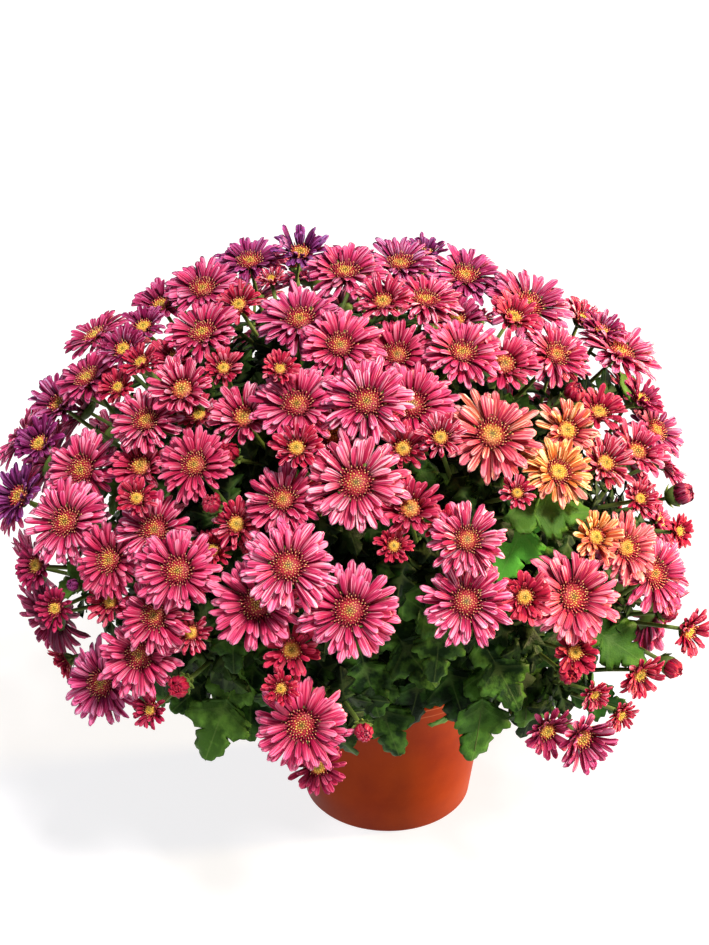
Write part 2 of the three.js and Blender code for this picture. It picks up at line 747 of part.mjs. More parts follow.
function soilSolid() {
  const foot = POT.floor + GAP;
  const shrink = 1.5 * GAP;
  let soil = solidOf(lathe([
    [0, foot],
    [insideRadius(foot) - shrink, foot],
    [insideRadius(SOIL.top) - shrink, SOIL.top],
    [0, SOIL.top + SOIL.crown],
  ], POT.sides));
  for (let plant = 0; plant < PLANT_COUNT; plant++) {
    const foot = plantFoot(plant);
    const top = foot.clone().setZ(SOIL.top + 20);
    const hole = newSkin();
    const up = new THREE.Vector3(0, 0, 1);
    const low = addRing(hole, circle(foot, up, PLANT.stemRadius + 2 * GAP, 10));
    const high = addRing(hole, circle(top, up, PLANT.stemRadius + 2 * GAP, 10));
    addCap(hole, [...low].reverse());
    addWalls(hole, low, high);
    addCap(hole, high);
    soil = soil.subtract(skinSolid(hole));
  }
  return soil;
}

// ---- Heads and leaves as skins ------------------------------------------------------------
// A head of wedge-shaped petals round a low disc, or a closed bud, grown on to a stalk's ring.
function growHead(skin, from, bloom) {
  const { place, axis, reach, spin } = bloom;
  const { foot, crown, edgeLow, edgeTop } = headHeights(reach);
  const [side, other] = across(axis);
  const at = (radius, angle, height) => place.clone()
    .addScaledVector(side, radius * Math.cos(angle + spin))
    .addScaledVector(other, radius * Math.sin(angle + spin))
    .addScaledVector(axis, height);
  const [top] = addRing(skin, [at(0, 0, crown)]);
  const outline = [];
  if (reach < BUD_UP_TO) {
    for (let k = 0; k < 6; k++) outline.push(at(0.8 * reach, (k * Math.PI) / 3, edgeLow));
  } else {
    const form = formOf(reach);
    const step = (2 * Math.PI) / form.petals;
    for (let i = 0; i < form.petals; i++) {
      const upper = i % 2;
      const radius = reach * (upper ? 0.93 : 1);
      const rise = upper ? edgeTop : edgeLow;
      const half = form.tipHalf * step;
      outline.push(
        at(reach * form.notch, (i - 0.5) * step, crown - BLOOM.discRise),
        at(radius, i * step - half, rise),
        at(radius, i * step + half, rise),
      );
    }
  }
  const edge = addRing(skin, outline);
  const count = edge.length;
  const each = reach < BUD_UP_TO ? 1 : 3;
  for (let k = 0; k < count; k += each) {
    const notch = edge[k];
    const next = edge[(k + each) % count];
    skin.faces.push([top, notch, next]);
    if (each === 3) skin.faces.push([notch, edge[k + 1], edge[k + 2]], [notch, edge[k + 2], next]);
  }
  // The underside runs from the stalk's three-sided ring out to the petals' edge.
  const ring = addRing(skin, [0, 1, 2].map((k) => at(PEDICEL.radius, (k * 2 * Math.PI) / 3, foot)));
  const ringFor = (k) => Math.round((3 * k) / count) % 3;
  for (let k = 0; k < count; k++) {
    const own = ringFor(k);
    const after = ringFor(k + 1);
    const next = edge[(k + 1) % count];
    skin.faces.push([ring[own], next, edge[k]]);
    if (after !== own) skin.faces.push([ring[own], ring[after], next]);
  }
  addWalls(skin, from, leastTwist(skin, from, ring));
}

function headCutter(bloom) {
  const { reach, axis, place } = bloom;
  const { foot, crown, edgeLow, edgeTop } = headHeights(reach);
  const turn = new THREE.Quaternion().setFromUnitVectors(new THREE.Vector3(0, 0, 1), axis);
  const matrix = new THREE.Matrix4().compose(place, turn, new THREE.Vector3(1, 1, 1));
  const disc = (more) => solidOf(lathe([
    [0, foot - more],
    [reach * 1.06 + more, edgeLow - 0.3 - more],
    [reach * 1.06 + more, edgeTop + 0.3 + more],
    [0, Math.max(crown, edgeTop) + more],
  ], 12).applyMatrix4(matrix));
  return { core: disc(0), fuller: disc(GAP + 0.2) };
}

// A spray: a hub at the fork with a pedicel and a head for each of its blooms.
function spraySkin(spray, approach) {
  const skin = newSkin();
  const { fork, members } = spray;
  if (members.length === 1) {
    const start = fork.clone().addScaledVector(approach, -PEDICEL.hubDrop);
    const ring = addRing(skin, circle(start, approach, PLANT.tipRadius, 3));
    addCap(skin, [...ring].reverse());
    growHead(skin, ring, members[0]);
    return skin;
  }
  const [side, other] = across(approach);
  const bearing = (bloom) => {
    const off = bloom.place.clone().sub(fork);
    return Math.atan2(off.dot(other), off.dot(side));
  };
  const order = [...members].sort((a, b) => bearing(a) - bearing(b));
  const count = Math.max(3, members.length);
  const step = (2 * Math.PI) / count;
  let east = 0;
  let north = 0;
  order.forEach((bloom, i) => {
    const lag = bearing(bloom) - (i + 0.5) * step;
    east += Math.cos(lag);
    north += Math.sin(lag);
  });
  const radius = PEDICEL.hubRadius + PEDICEL.hubSpread * count;
  const turn = Math.atan2(north, east);
  const ring = addRing(skin, circle(fork, approach, radius, count, turn));
  const [low, high] = addRing(skin, [
    fork.clone().addScaledVector(approach, -PEDICEL.hubDrop),
    fork.clone().addScaledVector(approach, PEDICEL.hubRise),
  ]);
  for (let i = 0; i < count; i++) {
    const next = (i + 1) % count;
    skin.faces.push([low, ring[next], ring[i]]);
    const face = [high, ring[i], ring[next]];
    if (order[i]) growHead(skin, face, order[i]);
    else skin.faces.push(face);
  }
  return skin;
}

function sprayCutters({ fork, members }) {
  return members.flatMap((bloom) => [
    headCutter(bloom),
    rodCutter([fork, headFoot(bloom)], 3.4, PEDICEL.radius + 0.4),
  ]);
}

// Half of the leaf's outline, as [share of the length, share of the full half width].
const LEAF_EDGE = [
  [0, 0.1], [0.24, 0.8], [0.38, 0.36], [0.62, 1], [0.7, 0.45], [0.87, 0.48],
];
const LEAF_RIB = [0, 0.5];
const RIB_FOR_EDGE = [0, 0, 1, 1, 1, 1]; // the rib point that each edge stretch fans out from

// Adds a leaf, open at its base, and gives the ring that its stalk ends on.
function addLeaf(skin, leaf, grow) {
  const { base, length } = leaf;
  const [along, side, normal] = leafAxes(leaf);
  const half = (LEAF.width * length) / 2;
  const at = (x, y, z) => base.clone()
    .addScaledVector(along, x)
    .addScaledVector(side, y)
    .addScaledVector(normal, z);
  const rib = (lift) =>
    LEAF_RIB.map((share) => at(share * length, 0, leafRise(length, share, 0) + lift));
  const edge = (sign) => LEAF_EDGE.map(([share, out]) =>
    at(share * length, sign * (out * half + grow), leafRise(length, share, out)));
  const thick = LEAF.thickness / 2 + grow;
  const ribs = [rib(thick), rib(-thick)].map((points) => addRing(skin, points));
  const edges = [edge(1), edge(-1)].map((points) => addRing(skin, points));
  const [tip] = addRing(skin, [at(length + grow, 0, leafRise(length, 1, 0))]);
  ribs.forEach((along, under) => {
    edges.forEach((outline, other) => {
      const add = (a, b, c) => skin.faces.push(under === other ? [a, b, c] : [a, c, b]);
      outline.forEach((point, i) => {
        const next = outline[i + 1] ?? tip;
        const own = RIB_FOR_EDGE[i];
        const after = RIB_FOR_EDGE[i + 1] ?? own;
        add(along[own], next, point);
        if (after !== own) add(along[own], along[after], next);
      });
    });
  });
  return [edges[0][0], ribs[0][0], edges[1][0], ribs[1][0]];
}

function leafCutter(leaf) {
  const closed = (grow) => {
    const skin = newSkin();
    addCap(skin, addLeaf(skin, leaf, grow).reverse());
    return skinSolid(skin);
  };
  return { core: closed(0), fuller: closed(GAP) };
}

// A branch grown from a face of its plant's crown, with a stalk and a leaf at each leaf's node.
function growBranch(skin, from, branch, leaves) {
  const { curve } = branch;
  const length = curve.getLength();
  const node = LEAF_NODE / length;
  const rings = BRANCH_RINGS.slice(1).map((at) => ({ at }));
  let free = 0.12;
  for (const { leaf, at } of [...leaves].sort((a, b) => a.at - b.at)) {
    const low = Math.max(free, Math.min(at, 0.99 - 2 * node));
    rings.push({ at: low }, { at: low + node, leaf });
    free = low + 1.3 * node;
  }
  rings.sort((a, b) => a.at - b.at);
  const chord = curve.getPoint(1).sub(curve.getPoint(0)).normalize();
  const [first] = across(chord);
  let ring = from;
  rings.forEach(({ at, leaf }) => {
    const tangent = curve.getTangent(at);
    const side = first.clone().addScaledVector(tangent, -first.dot(tangent)).normalize();
    const other = tangent.clone().cross(side);
    const radius = mix(PLANT.branchRadius, PLANT.tipRadius, at);
    const middle = curve.getPoint(at);
    const next = leastTwist(skin, ring, addRing(skin, [0, 1, 2].map((k) => middle.clone()
      .addScaledVector(side, radius * Math.cos((k * 2 * Math.PI) / 3))
      .addScaledVector(other, radius * Math.sin((k * 2 * Math.PI) / 3)))));
    if (leaf) {
      const facing = [0, 1, 2].map((k) => {
        const after = (k + 1) % 3;
        const wall = skin.points[next[k]].clone().add(skin.points[next[after]]);
        return wall.multiplyScalar(0.5).sub(middle).dot(leaf.base.clone().sub(middle));
      });
      const wall = facing.indexOf(Math.max(...facing));
      const after = (wall + 1) % 3;
      const foot = [ring[wall], ring[after], next[after], next[wall]];
      addWalls(skin, ring, next, wall);
      addWalls(skin, foot, leastTwist(skin, foot, addLeaf(skin, leaf, 0)));
    } else {
      addWalls(skin, ring, next);
    }
    ring = next;
  });
  addCap(skin, ring);
}

// A plant: a stem that stands in the soil, and a crown with a face for each of its branches.
function plantSkin(plant, branches, leaves) {
  const skin = newSkin();
  const foot = plantFoot(plant);
  const crown = plantCrown(plant);
  const bearing = (branch) => {
    const off = branch.curve.getPoint(0.5).sub(crown);
    return Math.atan2(off.x, -off.y);
  };
  const up = new THREE.Vector3(0, 0, 1);
  const own = branches.filter((branch) => branch.plant === plant);
  own.sort((a, b) => bearing(a) - bearing(b));
  const count = own.length;
  const low = addRing(skin, circle(foot, up, PLANT.stemRadius, count));
  const soilLine = foot.clone().setZ(SOIL.top + SOIL.crown);
  const middle = addRing(skin, circle(soilLine, up, PLANT.stemRadius, count));
  const ring = addRing(skin, circle(crown, up, PLANT.crownRadius, count));
  const [top] = addRing(skin, [crown.clone().setZ(crown.z + PLANT.crownRise)]);
  addCap(skin, [...low].reverse());
  addWalls(skin, low, middle);
  addWalls(skin, middle, ring);
  // Start the branches at the face that looks their way.
  const looks = ring.map((number, i) => {
    const after = skin.points[ring[(i + 1) % count]];
    const off = skin.points[number].clone().add(after).multiplyScalar(0.5).sub(crown);
    return Math.atan2(off.x, -off.y);
  });
  const apart = (shift) => own.reduce((sum, branch, i) =>
    sum - Math.cos(looks[(i + shift) % count] - bearing(branch)), 0);
  let shift = 0;
  for (let k = 1; k < count; k++) if (apart(k) < apart(shift)) shift = k;
  own.forEach((branch, i) => {
    const k = (i + shift) % count;
    const face = [top, ring[k], ring[(k + 1) % count]];
    growBranch(skin, face, branch, leaves.filter((leaf) => leaf.branch === branch.number));
  });
  return skin;
}

function plantCutters(plant, branches, leaves) {
  const own = branches.filter((branch) => branch.plant === plant);
  const isOwn = (leaf) => branches[leaf.branch].plant === plant;
  return [
    ...own.map((branch) => rodCutter(branch.points, PLANT.branchRadius + 1, PLANT.tipRadius + 0.6)),
    ...leaves.filter(isOwn).map((leaf) => leafCutter(leaf.leaf)),
    ...leaves.filter(isOwn).map(({ leaf, branch, at }) =>
      rodCutter([branches[branch].curve.getPoint(at), leaf.base], LEAF.stalkRadius + 0.8, 1.8)),
  ];
}

// ---- Assembly -----------------------------------------------------------------------------
const face = faceBlooms();
const blooms = settled([...face, ...rearBlooms(face)]);
const sprays = groupInSprays(blooms);
const branches = branchesOf(sprays);
const leaves = leavesOf(sprays, branches);

const group = new THREE.Group();
function place(name, solid, colour, roughness) {
  const material = new THREE.MeshStandardMaterial({ color: colour, roughness, metalness: 0 });
  const mesh = new THREE.Mesh(geometryOf(solid), material);
  mesh.name = name;
  group.add(mesh);
}
const numbered = (name, index) => `${name}_${String(index + 1).padStart(2, "0")}`;

place("pot", potSolid(), COLOUR.terracotta, 0.5);
place("soil", soilSolid(), COLOUR.soil, 1);
const earlier = [];
function placeCut(name, skin, cutters, colour) {
  const solid = skinSolid(skin);
  place(name, cutClear(solid, earlier), colour, 0.6);
  earlier.push({ solid, cutters });
}
sprays.forEach((spray, i) => {
  const skin = spraySkin(spray, branches[i].approach);
  placeCut(numbered("spray", i), skin, sprayCutters(spray), COLOUR.pink);
});
for (let plant = 0; plant < PLANT_COUNT; plant++) {
  const skin = plantSkin(plant, branches, leaves);
  const cutters = plantCutters(plant, branches, leaves);
  placeCut(numbered("leafy_stems", plant), skin, cutters, COLOUR.green);
}

export default group;
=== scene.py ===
"""A pot chrysanthemum: petals, discs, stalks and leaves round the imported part, in one frame."""
import math

import bmesh
import bpy
import numpy as np
from mathutils import Euler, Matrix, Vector, noise


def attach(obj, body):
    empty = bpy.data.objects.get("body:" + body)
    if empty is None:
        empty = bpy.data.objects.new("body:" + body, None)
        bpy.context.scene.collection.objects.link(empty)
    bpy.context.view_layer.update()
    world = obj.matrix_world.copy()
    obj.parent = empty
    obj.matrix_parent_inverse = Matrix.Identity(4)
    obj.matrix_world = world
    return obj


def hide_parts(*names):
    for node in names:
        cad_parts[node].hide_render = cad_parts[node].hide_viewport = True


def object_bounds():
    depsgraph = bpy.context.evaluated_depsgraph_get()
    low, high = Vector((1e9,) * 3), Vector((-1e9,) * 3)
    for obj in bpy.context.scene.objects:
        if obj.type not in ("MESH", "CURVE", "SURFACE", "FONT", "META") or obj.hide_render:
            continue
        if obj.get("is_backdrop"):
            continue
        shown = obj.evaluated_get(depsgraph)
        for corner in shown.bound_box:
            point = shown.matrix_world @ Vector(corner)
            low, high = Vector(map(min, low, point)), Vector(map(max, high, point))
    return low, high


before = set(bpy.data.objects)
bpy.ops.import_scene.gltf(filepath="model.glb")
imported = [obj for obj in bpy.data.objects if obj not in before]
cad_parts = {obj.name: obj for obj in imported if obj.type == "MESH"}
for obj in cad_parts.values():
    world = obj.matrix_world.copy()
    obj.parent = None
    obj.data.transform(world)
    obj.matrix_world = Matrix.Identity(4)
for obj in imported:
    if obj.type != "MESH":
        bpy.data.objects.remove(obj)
cad_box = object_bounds()

MM = 0.001

# ---- Camera --------------------------------------------------------------------------------------
STATION = np.array([-24.0, -1126.0, 845.5])  # millimetres, in front of the pot and above it
PITCH = math.radians(27.6)  # how far the camera looks down
UNITS_PER_RADIAN = 1885  # of the view plane that the flowering face is laid out on
VIEW_WIDE, VIEW_HIGH = 709, 945
SENSOR = 36  # millimetres, along its long side
FARTHEST_SEEN = 50  # metres

camera = bpy.data.objects.new("camera", bpy.data.cameras.new("camera"))
bpy.context.collection.objects.link(camera)
camera.location = STATION * MM
camera.rotation_euler = Euler((math.pi / 2 - PITCH, 0, 0))
camera.data.sensor_width = SENSOR
camera.data.lens = SENSOR * UNITS_PER_RADIAN / VIEW_HIGH
camera.data.clip_end = FARTHEST_SEEN
bpy.context.scene.camera = camera

# ---- Dimensions, in millimetres, as the solids have them -----------------------------------------
GAP = 0.3
POT = dict(rim=75, base=60, height=114.5, wall=2, floor=2.5, lip=3, band=6, step=0.5)
LIP_FOOT = POT["height"] - POT["lip"]
BAND_FOOT = LIP_FOOT - POT["band"]
DRAIN = dict(count=4, radius=4, circle=40)
SOIL = dict(top=99.5, crown=5, socket=26)

# The mound: half its width, its height above its centre's level and its depth below that.
MOUND_CENTRE = np.array([-31.0, 0.0, 213.5])
MOUND_ACROSS, MOUND_UP, MOUND_DOWN = 228, 184, 112
HEART = np.array([-12.0, 0.0, 148.5])  # where the branches fan out from

PLANT_COUNT = 5
# Each branch bends at a share of its way to the fork, and tries these arches above it.
PLANT = dict(circle=34, stem=4.4, rise=14, crown=5.6, crown_rise=3, branch=2.4, tip=1.8,
             bend=0.42, arches=(12, 22, 4, 32), over_rim=24)
SPRAY_COUNT = 51
FORK_DEPTH = 0.27  # a fork's place between its blooms and the heart
PEDICEL = dict(radius=1.3, hub_drop=2.4)

# Bloom forms by age, in shares of the bloom's reach, and the reaches that part the ages.
OPEN = dict(notch=0.34, rise=0.1, layer=0.13)
YOUNG = dict(notch=0.4, rise=0.4, layer=0.08)
BUD = dict(crown=1.3, edge=-0.1)
OPEN_FROM = 20
BUD_UP_TO = 9.5
CALYX_DEPTH, ROOT_THICKNESS, DISC_RISE = 5, 2.2, 3

LEAF = dict(width=0.66, droop=0.2, fold=0.1, stalk=1.6)
BRANCH_LEAVES = dict(at=(0.95, 0.68), outward=(0.6, 0.3), around=0.8, lift=0.6, turns=8, stalk=7,
                     length=44, spread=14)
BRANCH_RINGS = (0, 0.4, 0.72, 1)  # the shares of a branch where its solid has rings
STALK_SPOTS = (0.3, 0.4, 0.5, 0.6, 0.7, 0.8, 0.9)
# What a leaf that shows tries until it is clear: slides along the line of sight, turns in degrees,
# and which of the nearest spots on the branches its stalk starts from.
LEAF_SLIDES = (0, -7, 7, -14, 14, -21, -30, -40)
LEAF_TURNS = (0, 14, -14, 28, -28)
LEAF_SPOTS = (0, 3, 7, 12)
SHOWN_LEAF = dict(outward=0.12, up=(0, -0.3, 0.5), stretch=1.08, stalk_from=0.2)
STRAIGHTEST = 0.3  # the least cosine between a head or leaf and the way that leads to it
STRAIGHTENING = 1.5  # how hard a head is turned that way

# How things keep clear of one another: the least gap, how closely rods are sampled, how far off a
# neighbour is looked at, the girths of thin things and of branches, the gap to the pot and how many
# crossings a touch of the pot counts for.
NEAREST = dict(margin=0.9, step=4, look=6, thin=0.6, branch=2, pot=3, pot_hits=3)

# Blooms of the face: [across, down, diameter] on the view plane, from the top to the skirt.
FACE_ROWS = (
    (250, 262, 66), (300, 256, 56), (345, 272, 76), (400, 264, 66), (465, 276, 72), (425, 257, 44),
    (203, 289, 68), (272, 283, 30), (163, 308, 56), (240, 308, 46), (300, 320, 80), (383, 305, 58),
    (425, 300, 66), (528, 305, 80), (512, 320, 52), (455, 324, 56), (580, 322, 48), (340, 346, 76),
    (95, 336, 60), (203, 333, 72), (145, 330, 46), (125, 352, 46), (397, 355, 68), (462, 353, 76),
    (143, 365, 38), (176, 362, 52), (556, 355, 66), (503, 366, 64), (620, 352, 78), (600, 334, 46),
    (88, 378, 64), (120, 390, 40), (183, 392, 62), (224, 371, 40), (280, 372, 36), (571, 397, 26),
    (62, 406, 60), (146, 421, 66), (200, 418, 44), (245, 420, 66), (297, 405, 82), (367, 402, 86),
    (412, 405, 80), (492, 435, 90), (440, 440, 46), (597, 415, 50), (638, 402, 46), (655, 430, 60),
    (42, 446, 50), (82, 470, 76), (142, 468, 60), (195, 465, 68), (230, 455, 27), (297, 450, 50),
    (335, 437, 66), (403, 450, 50), (565, 432, 60), (635, 454, 60), (603, 465, 56), (558, 472, 68),
    (22, 498, 60), (138, 500, 40), (212, 506, 24), (283, 500, 70), (319, 506, 22), (356, 483, 92),
    (410, 510, 62), (516, 495, 35), (637, 500, 40), (677, 495, 28), (522, 459, 38), (675, 532, 34),
    (66, 522, 80), (155, 530, 72), (237, 525, 50), (443, 526, 44), (467, 540, 70), (593, 538, 52),
    (110, 560, 70), (178, 571, 80), (214, 551, 38), (288, 566, 86), (393, 547, 38), (626, 548, 66),
    (40, 566, 46), (75, 586, 16), (251, 546, 30), (654, 574, 72), (573, 597, 88), (523, 597, 50),
    (58, 608, 40), (113, 602, 46), (155, 616, 70), (257, 604, 86), (350, 611, 90), (466, 602, 82),
    (192, 633, 42), (140, 655, 76), (292, 650, 56), (573, 652, 48), (685, 630, 48), (665, 612, 22),
    (102, 683, 76), (181, 685, 28), (282, 688, 36), (567, 673, 28), (637, 672, 46), (668, 665, 26),
    (153, 709, 36), (302, 725, 86), (363, 730, 24), (592, 692, 32), (545, 728, 52), (618, 712, 32),
    (318, 764, 52), (580, 736, 62),
)
# Blooms of the far side: turns of their spiral, spacing, least and most reach, where the spiral
# starts, how far a spot is turned away, how deep it sits, and the size and share of small blooms.
REAR = dict(turns=170, spacing=45, least=21, most=29, from_sine=-0.5, turned_away=0.02, sink=7,
            small=0.6, small_share=0.16)
GOLDEN_ANGLE = math.pi * (3 - math.sqrt(5))
DEPTH_JITTER = 7
SLIDES = (0, -7, 7, -14, 14, -21, 21, -28)  # what a head tries until it is clear
TILT_JITTER = 0.2
LIFT = 0.3  # how far a bloom turns up to the sky
FRONT_PULL = 0.62  # how far the blooms of the face turn to the camera
# Each purpose of a layout draw has numbers of its own.
DRAWS = dict(tilt=(1, 2, 3), depth=4, spin=5, size=6, leaf_length=10, violet_shade=12, tone_and_skylight=13,
             bow=(21, 22))
# What the random draws of each part are seeded with, plus the number of its head, branch or leaf.
SEEDS = dict(soil=31, inner_leaves=5000, pedicel_leaves=6000, heads=7000, leaves=9000)

# Leaves that show: [across, down, length, degrees clockwise from the right, share of depth].
SHOWN_LEAVES = (
    (222, 712, 92, 112, 0.86), (250, 700, 76, 80, 0.8), (196, 690, 60, 140, 0.85),
    (366, 672, 84, 88, 0.72), (408, 650, 84, 52, 0.76), (384, 716, 78, 72, 0.66),
    (326, 660, 60, 105, 0.72), (350, 706, 66, 118, 0.7), (440, 640, 76, 95, 0.8),
    (452, 680, 84, 70, 0.7), (484, 712, 90, 78, 0.72), (500, 670, 80, 60, 0.82),
    (428, 612, 70, 60, 0.84), (530, 690, 66, 85, 0.83), (520, 536, 92, 128, 0.92),
    (545, 512, 80, 22, 0.9), (612, 640, 76, 30, 0.92), (596, 700, 60, 35, 0.86),
    (636, 398, 60, 50, 0.93), (84, 572, 60, 150, 0.9), (308, 594, 52, 100, 0.84),
    (378, 584, 54, 140, 0.76), (500, 588, 46, 80, 0.76), (232, 640, 60, 90, 0.84),
    (424, 474, 40, 60, 0.78), (120, 485, 52, 120, 0.88), (560, 640, 64, 120, 0.84),
    (300, 680, 70, 95, 0.6), (420, 690, 74, 85, 0.58), (465, 655, 70, 100, 0.62),
    (345, 640, 54, 80, 0.6), (395, 700, 70, 100, 0.52), (270, 665, 66, 110, 0.66),
    (505, 640, 66, 80, 0.68),
)

# Blooms with a tint by their place on the face: amber, a colour of their own, and violet, a painted
# purple shade.
AMBER = {(558, 472): 1, (593, 538): 0.95, (565, 432): 0.75, (492, 435): 0.55, (626, 548): 0.45,
         (573, 597): 0.25, (603, 465): 0.2, (356, 483): 0.15, (528, 305): 0.1}
PAINTED_VIOLET_SHADE = {(250, 262): 0.75, (300, 256): 1, (345, 272): 0.2, (400, 264): 0.55, (465, 276): 0.5,
          (425, 257): 0.9, (203, 289): 0.25, (163, 308): 0.45, (528, 305): 0.35, (95, 336): 0.3,
          (145, 330): 0.6, (125, 352): 0.5, (88, 378): 0.3, (62, 406): 0.6, (42, 446): 0.85,
          (22, 498): 1, (40, 566): 0.4, (75, 586): 0.9, (318, 764): 0.25, (102, 683): 0.35,
          (300, 320): 0.25, (655, 430): 0.5, (638, 402): 0.4, (600, 334): 0.5, (58, 608): 0.3,
          (153, 709): 0.2, (545, 728): 0.35, (580, 736): 0.3, (677, 495): 0.3, (455, 324): 0.4}


# ---- Layout: blooms, sprays, branches and leaves by the rule that places the solids --------------
def unit(v):
    return v / math.sqrt(v @ v)


def mix(start, end, share):
    return start + (end - start) * share


def distances(points, spot):
    """How far each of the points is from a spot."""
    return np.sqrt(((points - spot) ** 2).sum(axis=1))


def draw(number, purpose):
    """A repeatable draw from 0 to 1 for the item with this number and purpose."""
    s = math.sin(number * 12.9898 + purpose * 78.233 + 4.5) * 43758.5453
    return s - math.floor(s)


def sight_line(right, down):
    """The way from the camera through a place on the view plane."""
    x = (right - VIEW_WIDE / 2) / UNITS_PER_RADIAN
    y = (VIEW_HIGH / 2 - down) / UNITS_PER_RADIAN
    return np.array([x, math.cos(PITCH) + y * math.sin(PITCH), y * math.cos(PITCH) - math.sin(PITCH)])


def on_mound(right, down, depth):
    """Where a sight line meets the mound scaled by depth, or passes it nearest."""
    line = sight_line(right, down)

    def meet(vertical):
        scale = 1 / (np.array([MOUND_ACROSS, MOUND_ACROSS, vertical]) * depth)
        start, along = (STATION - MOUND_CENTRE) * scale, line * scale
        nearest = -(start @ along) / (along @ along)
        miss = start + along * nearest
        back = math.sqrt(max(0, 1 - miss @ miss) / (along @ along))
        return STATION + line * (nearest - back)

    upper = meet(MOUND_UP)
    return upper if upper[2] >= MOUND_CENTRE[2] else meet(MOUND_DOWN)


def outward_at(point):
    """Square to the skin of the mound, for a point on it or in it."""
    off = point - MOUND_CENTRE
    vertical = MOUND_UP if off[2] > 0 else MOUND_DOWN
    return unit(off / np.array([MOUND_ACROSS**2, MOUND_ACROSS**2, vertical**2]))


def square_to(axis):
    """Two directions square to an axis."""
    first = np.array([-axis[2], 0, axis[0]])
    if first @ first < 0.01:
        first = np.array([0, axis[2], -axis[1]])
    first = unit(first)
    return first, np.cross(axis, first)


class Thing:
    """A head, rod or leaf that keeps clear of the others, by sample points and their girth."""

    def __init__(self, samples, girth, gap):
        self.samples, self.girth, self.gap = np.array(samples), girth, gap
        self.middle = self.samples.mean(axis=0)
        self.radius = distances(self.samples, self.middle).max()

    def crosses(self, other):
        """Whether some sample of either comes too near the other."""
        margin = NEAREST["margin"]
        return bool((other.gap(self.samples) < self.girth + margin).any()
                    or (self.gap(other.samples) < other.girth + margin).any())

    def in_pot(self):
        """Whether some sample comes too near the pot."""
        x, y, z = self.samples.T
        out = np.maximum(z - POT["height"], np.hypot(x, y) - POT["rim"])
        return bool((out < self.girth + NEAREST["pot"]).any())


def head_heights(reach):
    """Along a head's axis: its foot and crown in the middle, and both at the edge."""
    if reach < BUD_UP_TO:
        edge = BUD["edge"] * reach
        return -reach, BUD["crown"] * reach, edge, edge
    form = YOUNG if reach < OPEN_FROM else OPEN
    foot = -CALYX_DEPTH * min(1, reach / OPEN_FROM)
    edge = reach * form["rise"]
    crown = mix(foot, edge, form["notch"]) + ROOT_THICKNESS + DISC_RISE
    return foot, crown, edge, edge + reach * form["layer"]


# Where a head is sampled: shares of its reach, and how many points round each.
HEAD_SHARES, HEAD_SIDES = (0.55, 0.8, 1), 12


def head_thing(bloom):
    """A head as a shallow bowl round its axis."""
    place, axis, reach = bloom["place"], bloom["axis"], bloom["reach"]
    foot, crown, edge_low, edge_top = head_heights(reach)

    def gap(points):
        off = points - place
        height = off @ axis
        flat = np.sqrt(np.maximum(0, (off * off).sum(axis=1) - height * height))
        share = np.minimum(1, flat / reach)
        low, top = mix(foot, edge_low, share), mix(crown, edge_top, share)
        return np.maximum.reduce([low - height, height - top, flat - reach])

    side, other = square_to(axis)
    samples = [place + axis * foot, place + axis * crown]
    for share in HEAD_SHARES:
        height = (mix(foot, edge_low, share) + mix(crown, edge_top, share)) / 2
        for k in range(HEAD_SIDES):
            angle = k * 2 * math.pi / HEAD_SIDES
            across = side * math.cos(angle) + other * math.sin(angle)
            samples.append(place + axis * height + across * share * reach)
    return Thing(samples, NEAREST["thin"], gap)


def rod_thing(points, girth):
    """A rod of this radius through the points."""
    samples = []
    for start, end in zip(points, points[1:]):
        steps = math.ceil(math.dist(start, end) / NEAREST["step"])
        samples += [mix(start, end, k / steps) for k in range(steps + 1)]

    def gap(at):
        least = np.full(len(at), np.inf)
        for start, end in zip(points, points[1:]):
            run = end - start
            share = np.clip((at - start) @ run / (run @ run), 0, 1)
            off = at - (start + share[:, None] * run)
            least = np.minimum(least, np.sqrt((off * off).sum(axis=1)))
        return least - girth

    return Thing(samples, girth, gap)


def leaf_axes(leaf):
    """Along a leaf, across it and out of its face."""
    along = leaf["along"]
    normal = unit(leaf["up"] - along * (leaf["up"] @ along))
    return along, np.cross(normal, along), normal


def leaf_rise(length, along, out):
    """How far a leaf's face lies above its base plane, for shares of length and half width."""
    return length * (LEAF["fold"] * out - LEAF["droop"] * along * along)


# Where a leaf is sampled: shares of its length, along its midrib and across it.
RIB_SHARES, ACROSS_SHARES = (0.2, 0.4, 0.6, 0.8, 1), (0.25, 0.5, 0.72)
SIDE_SHARES = (-0.9, -0.45, 0.45, 0.9)


def leaf_thing(leaf):
    """A leaf as an oval sheet that droops and folds."""
    base, length = leaf["base"], leaf["length"]
    along, side, normal = leaf_axes(leaf)
    half = LEAF["width"] * length / 2

    def at(share, out):
        rise = leaf_rise(length, share, abs(out))
        return base + along * share * length + side * out * half + normal * rise

    samples = [at(share, 0) for share in RIB_SHARES]
    samples += [at(share, out) for share in ACROSS_SHARES for out in SIDE_SHARES]

    def gap(points):
        off = points - base
        share, out = off @ along / length, np.abs(off @ side) / half
        within = np.clip(share, 0, 1)
        wide = np.sqrt(1 - (2 * within - 1) ** 2)
        rise = leaf_rise(length, within, np.minimum(1, out))
        return np.maximum.reduce([-share * length, (share - 1) * length, (out - wide) * half,
                                  np.abs(off @ normal - rise) - 1])

    return Thing(samples, NEAREST["thin"], gap)


def clearest(options, others):
    """The first option that is clear of the others, or the one that crosses fewest."""
    middles = np.array([other.middle for other in others]).reshape(-1, 3)
    radii = np.array([other.radius for other in others])
    best, least = None, math.inf
    for option in options:
        hits = 0
        for thing in option["things"]:
            far = distances(middles, thing.middle)
            hits += NEAREST["pot_hits"] if thing.in_pot() else 0
            for i in np.nonzero(far <= thing.radius + radii + NEAREST["look"])[0]:
                if hits >= least:
                    break
                hits += thing.crosses(others[i])
        if hits < least:
            best, least = {**option, "hits": hits}, hits
        if hits == 0:
            break
    return best


